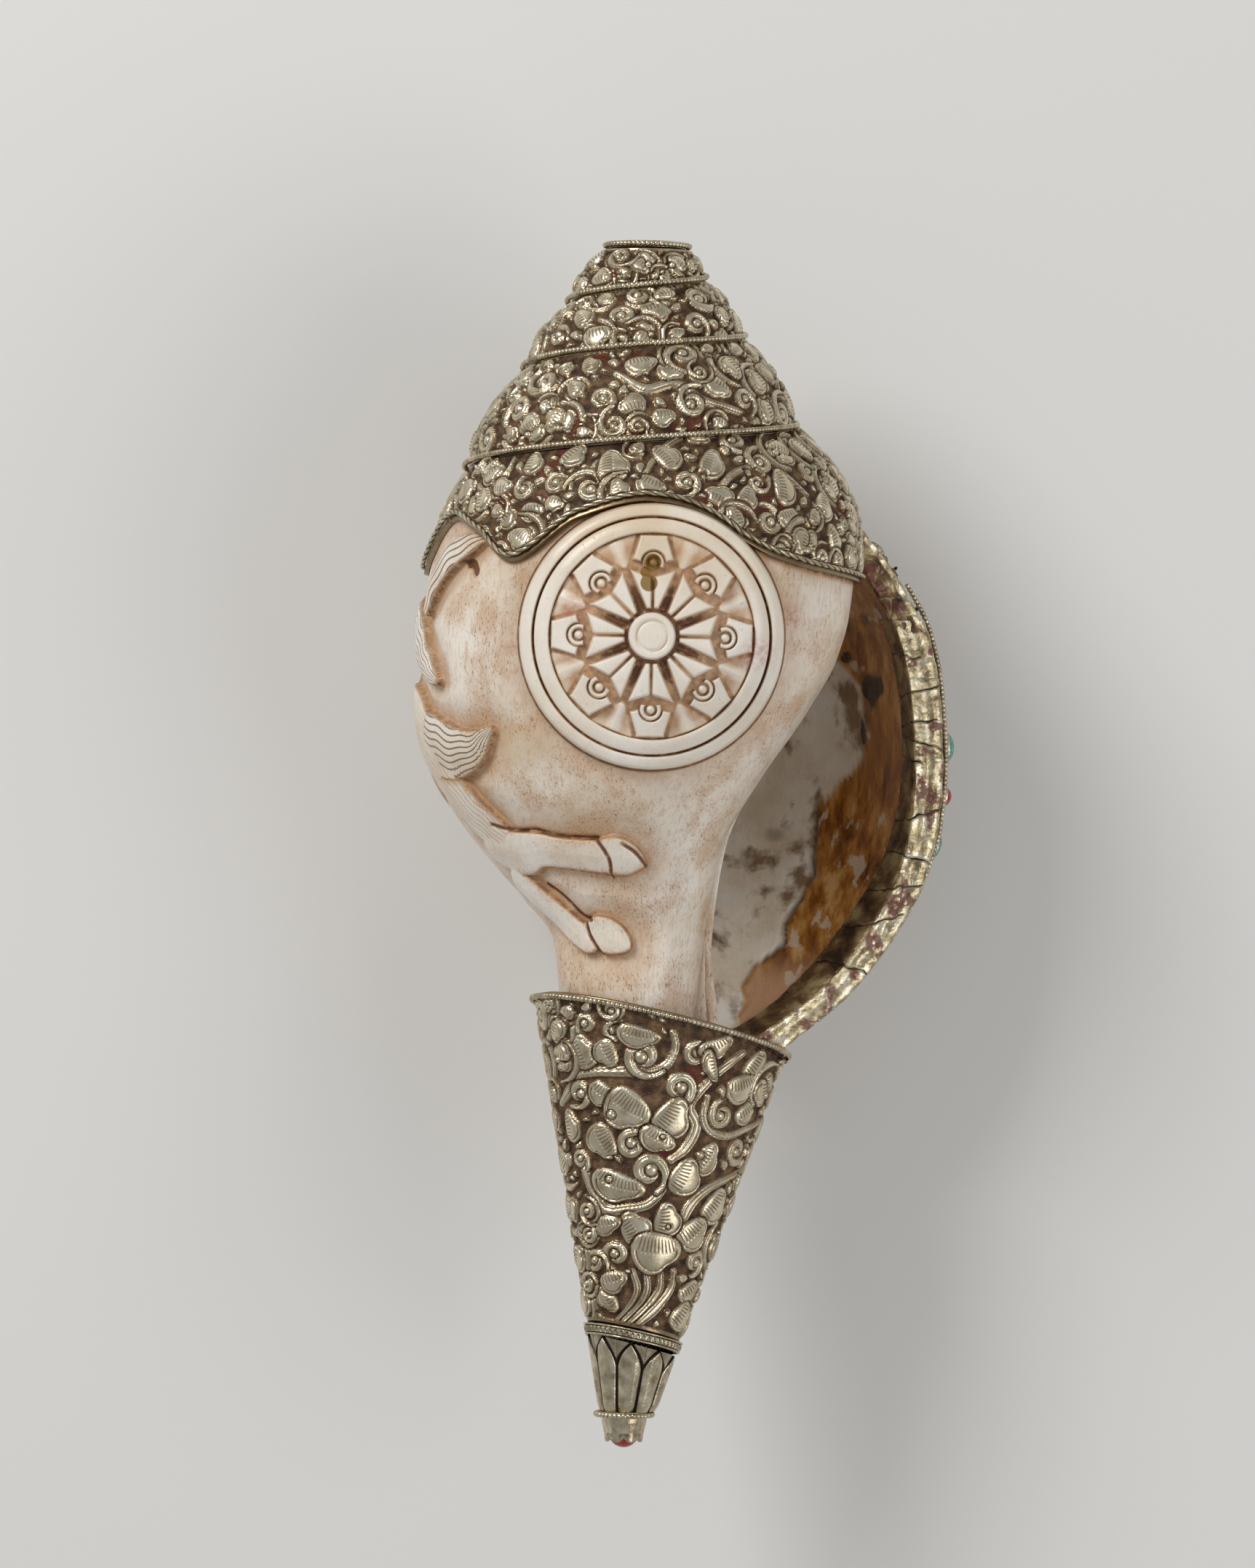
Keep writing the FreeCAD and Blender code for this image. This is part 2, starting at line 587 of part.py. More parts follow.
wing_front = size["lip_angle"] - outside_angle - math.degrees(2 * size["seam_gap"] / size["lip_radius"])
wing_back = wing_front - math.degrees(size["wing_width"] / size["lip_radius"])
keep(strip([last_turn + a / 360 for a in spread(wing_back, wing_front, 11)],
           lambda turn: size["wing_top_height"], lambda turn: size["wing_foot_height"],
           silver_radius, size["sheet_metal"], rows=11), "lip_wing")


def on_wing(angle, height, lift):
    return on_shell(angle, silver_radius(last_turn + angle / 360, height) + lift, height)


wire_lift = size["bead_radius"] + 3 * size["seam_gap"]
wire_top = hem_height(lip_turn) - 2 * size["bead_radius"] - size["bedding"]
joint_angle = (wing_front + size["lip_angle"] - outside_angle) / 2
keep(wire_along([on_wing(joint_angle, z, wire_lift)
                 for z in spread(binding_foot, wire_top, 60)], size["bead_radius"]), "lip_bead_wire")


def rounded_loop(half_wide, half_tall, corner, count):
    """Points round a rectangle with round corners, evenly spaced."""
    straight_wide, straight_tall = 2 * (half_wide - corner), 2 * (half_tall - corner)
    arc = corner * math.pi / 2
    lap = 2 * (straight_wide + straight_tall) + 4 * arc
    points = []
    for i in range(count):
        run = lap * i / count
        quarter = (straight_tall + arc, straight_wide + arc)
        side = 0
        while run >= quarter[side % 2]:
            run -= quarter[side % 2]
            side += 1
        straight = quarter[side % 2] - arc
        turned = max(0.0, run - straight) / corner
        along_side = min(run, straight)
        if side % 2 == 0:
            x = half_wide - corner + corner * math.cos(turned)
            y = -straight / 2 + along_side + corner * math.sin(turned)
        else:
            x = straight / 2 - along_side - corner * math.sin(turned)
            y = half_tall - corner + corner * math.cos(turned)
        points.append((x, y) if side < 2 else (-x, -y))
    return points


inset = 2 * size["bead_radius"] + 2 * size["seam_gap"]
wing_tall = size["wing_top_height"] - size["wing_foot_height"]
wing_centre = (size["wing_top_height"] + size["wing_foot_height"]) / 2
border = rounded_loop(size["wing_width"] - inset, wing_tall / 2 - inset, size["stone_pitch"] / 2, 110)
keep(wire_along([on_wing(wing_front + math.degrees(x / size["lip_radius"]), wing_centre + y, wire_lift)
                 for x, y in border if x < -2 * inset], size["bead_radius"]), "wing_border_wire")

# Stones on the lip

stone_angle = size["lip_angle"] - math.degrees(size["stone_setback"] / size["lip_radius"])


def seat_on_wing(height):
    """The place of a setting: long side up the lip, and straight out of the plate."""
    step = size["stone_radius"]
    base = on_wing(stone_angle, height, size["seam_gap"] * 2)
    up = on_wing(stone_angle, height + step, 0).sub(on_wing(stone_angle, height - step, 0))
    turn_step = math.degrees(step / size["lip_radius"])
    round_way = on_wing(stone_angle + turn_step, height, 0).sub(on_wing(stone_angle - turn_step, height, 0))
    return Placement(base, Rotation(up, Vector(0, 0, 0), up.cross(round_way), "XZY"))


def oval(long_radius, short_radius, height):
    ellipse = Part.Ellipse(Vector(0, 0, height), long_radius, short_radius)
    return Part.Face(Part.Wire(ellipse.toShape()))


def make_setting(long_radius, short_radius):
    """A cup of plain strip round a stone."""
    wall, floor = size["bezel_wall"], size["binding_thick"] / 2
    outside = oval(long_radius + wall, short_radius + wall, 0).extrude(Vector(0, 0, size["bezel_tall"]))
    return outside.cut(oval(long_radius, short_radius, floor).extrude(Vector(0, 0, size["bezel_tall"])))


def make_stone(long_radius, short_radius):
    """A cabochon: a straight girdle inside the setting and a low dome."""
    floor = size["binding_thick"] / 2 + size["seam_gap"] / 2
    girdle = size["bezel_tall"] / 2
    clear = size["seam_gap"] / 2
    base = oval(long_radius - clear, short_radius - clear, floor).extrude(Vector(0, 0, girdle))
    dome = Part.makeSphere(1, Vector(0, 0, 0), Vector(0, 0, 1), 0, 90, 360)
    scale = FreeCAD.Matrix()
    scale.scale(long_radius - clear, short_radius - clear, size["stone_rise"] - girdle)
    dome = dome.transformGeometry(scale)
    dome.translate(Vector(0, 0, floor + girdle))
    return base.fuse(dome).removeSplitter()


stones = (("turquoise_upper", 1, size["stone_long_radius"]), ("coral_middle", 0, size["stone_radius"]),
          ("turquoise_lower", -1, size["stone_long_radius"]))
for label, place, long_radius in stones:
    seat = seat_on_wing(size["stone_height"] + place * size["stone_pitch"])
    for shape, name in ((make_setting(long_radius, size["stone_radius"]), "setting_of_" + label),
                        (make_stone(long_radius, size["stone_radius"]), label)):
        shape.Placement = seat
        keep(shape, name)

# Canal sheath


def sheath_point(height, angle, grow=0.0):
    """A point of the sheath's outline: an oval whose long way points at the lip, round at the foot."""
    share = (height - size["sheath_foot_height"]) / (size["sheath_rim_height"] - size["sheath_foot_height"])
    long_radius = mix(size["sheath_foot_width"], size["sheath_rim_width"], share) / 2 + grow
    short_radius = mix(size["sheath_foot_width"], size["sheath_rim_depth"], share) / 2 + grow
    back = Vector(0, 0, 1).cross(lip_out)
    a = math.radians(angle)
    return sheath_centre(height) + lip_out * (long_radius * math.cos(a)) + back * (short_radius * math.sin(a))


def sheath_wire(height, grow=0.0):
    return Part.Wire([spline([sheath_point(height, 15 * i, grow) for i in range(24)], closed=True)])


def beyond_plane(middle, above=True):
    """All that lies above a slanting plane of the sheath, or below it."""
    block = 3 * size["sheath_rim_width"]
    box = Part.makeBox(block, block, block, Vector(-block / 2, -block / 2, 0 if above else -block))
    normal = Vector(rim_slope_share, rim_rise_share, 1)
    box.Placement = Placement(sheath_centre(middle), Rotation(Vector(0, 0, 1), normal))
    return box


def sheath_tube(low, high, grow):
    return loft([sheath_wire(low, grow), sheath_wire(high, grow)], ruled=True)


low_end = size["sheath_foot_height"] - size["sheath_foot_width"] / 2
high_end = size["sheath_rim_height"] + size["sheath_rim_width"] / 4
hollow = sheath_tube(low_end, high_end, -size["sheath_wall"])
sheath = sheath_tube(low_end, high_end, 0).cut(hollow)
sheath = sheath.cut(beyond_plane(size["sheath_rim_height"]))
sheath = sheath.cut(beyond_plane(size["sheath_foot_height"], False))
keep(sheath, "canal_sheath")


def rim_point(angle):
    """A point of the wire round the sheath's rim, found by steps down the slanting plane."""
    height = size["sheath_rim_height"]
    for attempt in range(6):
        spot = sheath_point(height, angle, wire_lift)
        height = rim_height_at(spot.x, spot.y, size["sheath_rim_height"]) - size["bead_radius"]
    return spot


keep(wire_along([rim_point(360 * i / 96) for i in range(96)], size["bead_radius"], closed=True),
     "sheath_rim_wire")

deck_height = size["sheath_rim_height"] - size["deck_depth"]
deck_top = size["sheath_rim_height"] + 2 * size["binding_inside"]
canal = loft([whorl_section(z, size["seam_gap"])
              for z in spread(size["shell_foot_height"] - half_gap, deck_top, 18)])
lac = sheath_tube(size["lac_foot_height"], high_end, -size["sheath_wall"] - half_gap)
keep(lac.cut(beyond_plane(deck_height)).cut(canal), "canal_lac_fill")

band = sheath_tube(low_end, high_end, size["milled_proud"]).cut(hollow)
band_top_height = size["sheath_foot_height"] - size["seam_gap"]
band = band.cut(beyond_plane(band_top_height))
band = band.cut(beyond_plane(band_top_height - size["milled_height"], False))
keep(band, "milled_band")


def ferrule_wire(height):
    """A ring of petals with a ridge down each, as a star of twice their number."""
    tall = size["sheath_foot_height"] - size["ferrule_foot_height"]
    share = (height - size["ferrule_foot_height"]) / tall
    radius = mix(size["ferrule_foot_width"], size["sheath_foot_width"], share) / 2
    groove_share = 0.9
    count = 2 * int(size["petal_count"])
    centre = sheath_centre(height)
    return outline([centre + on_shell(360 * i / count, radius * (1 if i % 2 == 0 else groove_share), 0)
                    for i in range(count)])


ferrule_top = band_top_height - size["milled_height"] - size["seam_gap"]
ferrule = loft([ferrule_wire(size["ferrule_foot_height"]), ferrule_wire(size["sheath_foot_height"])],
               ruled=True)
keep(ferrule.cut(beyond_plane(ferrule_top)), "lotus_ferrule")


def primitive(kind, name, bound):
    """A part primitive whose sizes follow the sheet."""
    made = doc.addObject(kind, name)
    for field, formula in bound.items():
        made.setExpression(field, formula)
    return made


def combine(kind, name, base, tool):
    made = doc.addObject(kind, name)
    made.Label = name
    made.Base = base
    made.Tool = tool
    return made


# Mouthpiece

flange = primitive("Part::Cylinder", "Flange", {
    "Radius": "Sizes.mouth_flange_radius", "Height": "Sizes.mouth_flange_thick",
    "Placement.Base.z": "Sizes.whole_length - Sizes.mouth_flange_thick"})
tube = primitive("Part::Cylinder", "Tube", {
    "Radius": "Sizes.passage_bore + Sizes.mouth_tube_wall", "Height": "Sizes.mouth_tube_length",
    "Placement.Base.z": "Sizes.whole_length - Sizes.mouth_flange_thick - Sizes.mouth_tube_length"})
tube_bore = primitive("Part::Cylinder", "TubeBore", {
    "Radius": "Sizes.passage_bore", "Height": "Sizes.mouth_tube_length + Sizes.mouth_flange_thick",
    "Placement.Base.z": "Sizes.whole_length - Sizes.mouth_flange_thick - Sizes.mouth_tube_length"})
cup = primitive("Part::Cone", "Cup", {
    "Radius1": "Sizes.passage_bore", "Radius2": "Sizes.mouth_cup_radius", "Height": "Sizes.mouth_cup_depth",
    "Placement.Base.z": "Sizes.whole_length - Sizes.mouth_cup_depth"})
mouthpiece = combine("Part::Cut", "mouthpiece", combine("Part::Fuse", "MouthBody", flange, tube),
                     combine("Part::Fuse", "MouthHollow", tube_bore, cup))
mouthpiece_rim_wire = primitive("Part::Torus", "mouthpiece_rim_wire", {
    "Radius1": "Sizes.mouth_flange_radius + Sizes.bead_radius + Sizes.seam_gap",
    "Radius2": "Sizes.bead_radius"})
mouthpiece_rim_wire.Placement.Base.z = size["whole_length"] - size["mouth_flange_thick"] / 2

# Tip

tip_wire = primitive("Part::Torus", "tip_wire", {
    "Radius1": "Sizes.cup_top_radius + Sizes.bead_radius + Sizes.seam_gap", "Radius2": "Sizes.bead_radius"})
tip_wire.Placement.Base.z = size["ferrule_foot_height"] - size["bead_radius"] - size["seam_gap"]
cup_outside = primitive("Part::Cone", "EndCupOutside", {
    "Radius1": "Sizes.cup_foot_radius", "Radius2": "Sizes.cup_top_radius",
    "Height": "Sizes.ferrule_foot_height - Sizes.seam_gap - Sizes.cup_foot_height",
    "Placement.Base.z": "Sizes.cup_foot_height"})
cup_inside = primitive("Part::Cone", "EndCupInside", {
    "Radius1": "Sizes.cup_foot_radius - Sizes.cup_wall", "Radius2": "Sizes.cup_top_radius - Sizes.cup_wall",
    "Height": "Sizes.ferrule_foot_height - Sizes.seam_gap - Sizes.cup_foot_height - Sizes.cup_wall",
    "Placement.Base.z": "Sizes.cup_foot_height"})
tip_cup = combine("Part::Cut", "tip_cup", cup_outside, cup_inside)
coral_end_bead = primitive("Part::Sphere", "coral_end_bead", {
    "Radius": "Sizes.end_bead_radius"})
coral_end_bead.Placement.Base.z = size["end_bead_radius"]
doc.recompute()
parts += [mouthpiece, mouthpiece_rim_wire, tip_wire, tip_cup, coral_end_bead]

# Lying on the ground

lay = Rotation(Vector(1, 0, 0), -90)
roll = Rotation(Vector(0, 1, 0), size["lie_roll"])
pitch = Rotation(Vector(1, 0, 0), size["lie_pitch"])
turned = pitch.multiply(roll).multiply(lay)
for made in parts:
    made.Placement = Placement(Vector(0, 0, 0), turned).multiply(made.Placement)
doc.recompute()
whole = FreeCAD.BoundBox()
for made in parts:
    whole.add(made.Shape.optimalBoundingBox(False))
down = Vector(-whole.Center.x, -whole.Center.y, -whole.ZMin)
for made in parts:
    made.Placement = Placement(down, Rotation()).multiply(made.Placement)
doc.recompute()

for made in doc.Objects:
    assert "Invalid" not in made.State and "Error" not in made.State, made.Label
os.makedirs("parts", exist_ok=True)
for made in parts:
    shape = made.Shape
    assert not shape.isNull() and shape.isValid() and shape.Volume > 0, made.Label
    shape.exportStep(f"parts/{made.Label}.step")
    print(f"{made.Label:28s} {len(shape.Solids)} solids, {shape.Volume / 1000:9.2f} cm3")
print("whole", [round(v, 2) for v in (whole.XLength, whole.YLength, whole.ZLength)])
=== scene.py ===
import math

import bpy
import numpy as np
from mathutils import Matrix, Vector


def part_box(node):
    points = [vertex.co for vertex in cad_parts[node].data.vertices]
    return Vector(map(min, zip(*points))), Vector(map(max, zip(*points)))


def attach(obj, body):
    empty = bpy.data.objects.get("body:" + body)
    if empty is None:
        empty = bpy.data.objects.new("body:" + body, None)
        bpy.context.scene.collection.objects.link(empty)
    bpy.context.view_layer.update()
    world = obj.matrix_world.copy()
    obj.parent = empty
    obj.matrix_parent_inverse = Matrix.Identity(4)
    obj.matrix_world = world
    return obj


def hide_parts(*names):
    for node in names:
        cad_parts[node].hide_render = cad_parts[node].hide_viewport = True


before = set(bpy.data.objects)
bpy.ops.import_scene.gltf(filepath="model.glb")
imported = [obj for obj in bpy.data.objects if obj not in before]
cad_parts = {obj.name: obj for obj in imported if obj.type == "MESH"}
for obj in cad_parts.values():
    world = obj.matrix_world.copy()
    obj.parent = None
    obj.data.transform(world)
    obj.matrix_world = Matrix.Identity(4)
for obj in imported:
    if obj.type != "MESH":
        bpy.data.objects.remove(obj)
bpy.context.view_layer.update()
rng = np.random.default_rng(7)

# Sizes in millimetres, as in the part. The shell is described upright: x to the right, y away from
# the viewer, z up from the coral bead. Angles run 0 right, 90 front, 180 left, 270 back, 342 lip.
whole_length = 248.5
lip_top = 193.5
shell_foot = 58.0
front_radius, belly_radius, lip_radius, last_suture = 44.2, 44.8, 66.1, 43.8
lip_angle = 342.0
shell_wall = 4.2
chamber_top, chamber_foot = 183.0, 82.5
inner_height, inner_radius, inner_wide, inner_tall = 188.0, 21.0, 22.0, 30.0
sheet, bedding, seam_gap = 0.9, 0.82, 0.1
crown_cut, crown_ease = 8.0, 1.3
hem_drop, bead, cord, bead_pitch = 33.5, 0.6, 0.5, 0.95
wheel_radius, wheel_height, wheel_side, wheel_relief = 26.4, 166.5, 2.4, 2.4
wing_width, wing_top, wing_foot = 30.0, 176.0, 95.0
stone_height, stone_pitch, stone_setback = 135.7, 10.1, 5.9
stone_short, stone_long, stone_rise = 2.3, 3.3, 3.3
rim_height, rim_long, rim_short = 86.7, 54.4, 44.0
sheath_foot, sheath_foot_wide, sheath_wall = 23.4, 20.2, 1.1
ferrule_foot, ferrule_foot_wide = 7.6, 12.2
milled_tall, milled_notches, notch_slant = 2.2, 27, 140
mouth_rim, mouth_tube, mouth_bore, cup_wide, cup_deep = 8.0, 6.2, 5.0, 6.8, 2.4
rim_thick, tube_foot = 1.4, 19.4
end_bead = 3.1
rim_slope, rim_rise, lean, back_lean = 0.196, 0.16, 0.1, 0.03

suture_heights = ((0, 1), (0.5, 0.982), (0.75, 0.932), (1, 0.873), (1.5, 0.773), (2, 0.655),
                  (2.5, 0.522), (3, 0.327), (3.5, 0.147), (3.95, 0))
suture_radii = ((0, 0.184), (0.5, 0.2), (0.75, 0.23), (1, 0.266), (1.5, 0.358), (2, 0.455),
                (2.5, 0.561), (3, 0.707), (3.5, 0.826), (3.7, 0.909), (3.8, 0.945), (3.9, 0.983), (3.95, 1))
right_outline = ((0, 0.672), (0.039, 0.822), (0.078, 0.914), (0.127, 0.982), (0.18, 1), (0.257, 0.977),
                 (0.316, 0.923), (0.377, 0.81), (0.472, 0.593), (0.564, 0.416), (0.644, 0.357),
                 (0.733, 0.314), (0.857, 0.26), (1, 0.2))
left_outline = ((0, 0.766), (0.042, 0.846), (0.098, 0.912), (0.175, 0.974), (0.287, 1), (0.371, 0.976),
                (0.455, 0.895), (0.538, 0.724), (0.622, 0.493), (0.678, 0.371), (0.748, 0.344),
                (0.846, 0.311), (1, 0.208))
lip_outline = ((0, 0.643), (0.044, 0.765), (0.111, 0.871), (0.177, 0.941), (0.269, 0.983), (0.38, 1),
               (0.469, 0.991), (0.554, 0.946), (0.642, 0.852), (0.731, 0.708), (0.782, 0.582),
               (0.83, 0.466), (0.9, 0.382), (1, 0.242))
hem_shares = ((2.95, 1), (3, 0.97), (3.1, 0.86), (3.15, 0.75), (3.18, 0.62), (3.25, 0.37), (3.3, 0.45),
              (3.35, 0.69), (3.39, 0.5), (3.44, 0.37), (3.53, 0.64), (3.61, 0.37), (3.7, 0.64),
              (3.78, 0.37), (3.87, 0.46), (3.95, 0.35))

last_turn, cap_end = 3, 0.75
lip_turn = last_turn + lip_angle / 360
lip_start = lip_angle - 360
skirt_start, back_seam = lip_turn - 1, last_turn + 0.45
flare_start = last_turn + 0.45  # from here the last whorl swings out to the lip


def clamp(x):
    return np.clip(x, 0.0, 1.0)


def smooth(x):
    """An eased step from 0 to 1."""
    x = clamp(x)
    return x * x * (3 - 2 * x)


def mix(a, b, share):
    return a + (b - a) * share


def along(table, x):
    """The smooth curve through a table of points."""
    xs, ys = np.array(table, float).T
    x = np.clip(x, xs[0], xs[-1])
    step = np.diff(ys) / np.diff(xs)
    both = step[:-1] * step[1:]
    inner = np.where(both > 0, 2 * both / np.where(both > 0, step[:-1] + step[1:], 1), 0)
    slope = np.concatenate([step[:1], inner, step[-1:]])
    i = np.clip(np.searchsorted(xs, x, "right") - 1, 0, len(xs) - 2)
    span = xs[i + 1] - xs[i]
    w = (x - xs[i]) / span
    return (ys[i] * (1 + 2 * w) * (1 - w) ** 2 + ys[i + 1] * w * w * (3 - 2 * w)
            + span * (slope[i] * w * (1 - w) ** 2 - slope[i + 1] * w * w * (1 - w)))


def suture_height(turn):
    return lip_top + (whole_length - lip_top) * along(suture_heights, turn)


def suture_radius(turn):
    return last_suture * along(suture_radii, turn)


def last_whorl_radius(turn, height):
    """The last whorl's radius, from the outlines at its right, its left and its lip."""
    top = suture_height(turn)
    down = (top - height) / (top - shell_foot)
    early = 1 - 0.37 * np.maximum(0, last_turn - turn)
    right = front_radius * early * along(right_outline, down)
    left = belly_radius * along(left_outline, down)
    lip = lip_radius * along(lip_outline, down)
    opened = np.maximum(0, (turn - flare_start) / (lip_turn - flare_start))
    swollen = smooth(down / 0.2) * (1 - smooth((down - 0.35) / 0.3))
    even = opened ** mix(2, 3.5, smooth((down - 0.6) / 0.2))
    full = even * (3 - 2 * opened) + 1.6 * even * (1 - opened)
    return mix(right, left, smooth(2 * (turn - last_turn))) + (lip - left) * mix(even, full, swollen)


def whorl_radius(turn, height):
    """The shell's radius on a turn of the spire or of the last whorl."""
    turn, height = np.broadcast_arrays(np.asarray(turn, float), np.asarray(height, float))
    upper, lower = suture_height(turn), suture_height(turn + 1)
    down = clamp((upper - height) / np.maximum(1e-6, upper - lower))
    bulge = mix(suture_radius(turn), suture_radius(turn + 1), 1 - (1 - down) ** 2) - sheet - bedding
    merged = smooth((turn - last_turn + 0.3) / 0.3)
    last = last_whorl_radius(turn, height)
    return np.where(turn >= last_turn, last, mix(bulge, last, merged))


def shell_radius(angle, height):
    """The shell's radius at an angle, on whichever turn passes at that height."""
    angle, height = np.broadcast_arrays(np.asarray(angle, float), np.asarray(height, float))
    turn = last_turn + angle / 360
    for _ in range(4):
        turn = np.where((turn > cap_end) & (height > suture_height(turn)), turn - 1, turn)
    high, low = suture_height(1.25), suture_height(1.75)
    return whorl_radius(turn, height) - crown_ease * smooth((height - low) / (high - low))


def silver_radius(turn, height):
    """Radius of the silver's outside, over its bed of lac."""
    return whorl_radius(turn, height) + bedding + sheet


def on_shell(angle, radius, height):
    """Points at an angle in degrees, a distance from the axis and a height."""
    a = np.radians(angle)
    return np.stack(np.broadcast_arrays(radius * np.cos(a), -radius * np.sin(a), height), -1)


def hem_height(turn):
    """Height of the skirt's scalloped hem, which is lifted over the wheel."""
    height = suture_height(turn) - hem_drop * along(hem_shares, turn)
    angle = 360 * (turn - last_turn)
    side = (belly_radius + wheel_relief) * np.cos(np.radians(angle))
    reach = (wheel_radius + 2 * cord) ** 2 - (side - wheel_side) ** 2
    over = wheel_height + np.sqrt(np.maximum(0, reach))
    return np.where((angle > 0) & (angle < 180) & (reach > 0), np.maximum(height, over), height)


# From the shell's millimetres to the frame
mouth_low, mouth_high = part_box("mouthpiece")
axis_x, axis_z, face_y = (mouth_low.x + mouth_high.x) / 2, (mouth_low.z + mouth_high.z) / 2, mouth_high.y


def lay(spots):
    """Points of the upright shell in the frame, in metres."""
    p = np.asarray(spots, float) / 1000
    return np.stack([axis_x + p[..., 0], face_y - whole_length / 1000 + p[..., 2],
                     axis_z - p[..., 1]], -1)


# Meshes


def facing(spots, wrap=False):
    """Unit normals of a grid of points."""
    if wrap:
        across = np.roll(spots, -1, 1) - np.roll(spots, 1, 1)
    else:
        across = np.gradient(spots, axis=1)
    down = np.gradient(spots, axis=0)
    n = np.cross(across, down)
    return n / np.maximum(1e-9, np.linalg.norm(n, axis=-1, keepdims=True))


def grid_faces(rows, columns, wrap=False):
    """Faces of a grid of points, closed across its columns if it wraps."""
    i, j = np.meshgrid(np.arange(rows - 1), np.arange(columns if wrap else columns - 1), indexing="ij")
    k = (j + 1) % columns
    quads = np.stack([i * columns + j, i * columns + k, (i + 1) * columns + k, (i + 1) * columns + j], -1)
    return quads.reshape(-1, 4)


def make_mesh(name, spots, quads, extra=None):
    """A smooth mesh object from points in the shell's millimetres. extra holds a number per point."""
    spots = lay(spots.reshape(-1, 3))
    mesh = bpy.data.meshes.new(name)
    mesh.vertices.add(len(spots))
    mesh.vertices.foreach_set("co", spots.astype(np.float32).ravel())
    mesh.loops.add(quads.size)
    mesh.loops.foreach_set("vertex_index", quads.astype(np.int32).ravel())
    mesh.polygons.add(len(quads))
    mesh.polygons.foreach_set("loop_start", np.arange(0, quads.size, 4, dtype=np.int32))
    mesh.polygons.foreach_set("loop_total", np.full(len(quads), 4, np.int32))
    mesh.polygons.foreach_set("use_smooth", np.ones(len(quads), bool))
    mesh.update(calc_edges=True)
    mesh.validate()
    for key, values in (extra or {}).items():
        layer = mesh.attributes.new(key, "FLOAT", "POINT")
        layer.data.foreach_set("value", np.asarray(values, np.float32).ravel())
    made = bpy.data.objects.new(name, mesh)
    bpy.context.scene.collection.objects.link(made)
    return made


def place(made, finish, slot, *nodes):
    """Gives a mesh its finish and body, and names the solids it takes the place of. slot is not used."""
    made.data.materials.append(finish)
    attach(made, "root")
    if nodes:
        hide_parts(*nodes)


# Raised work


def curve_through(points, per):
    """A smooth row of places through three or more, with a number of steps from each to the next."""
    p = np.asarray(points, float)
    ends = np.concatenate([[2 * p[0] - p[1]], p, [2 * p[-1] - p[-2]]])
    t = np.linspace(0, 1, per, endpoint=False)[:, None]
    rows = []
    for a, b, c, d in zip(ends, ends[1:], ends[2:], ends[3:]):
        rows.append(0.5 * (2 * b + (c - a) * t + (2 * a - 5 * b + 4 * c - d) * t ** 2
                           + (3 * b - a - 3 * c + d) * t ** 3))
    return np.concatenate(rows + [p[-1:]])


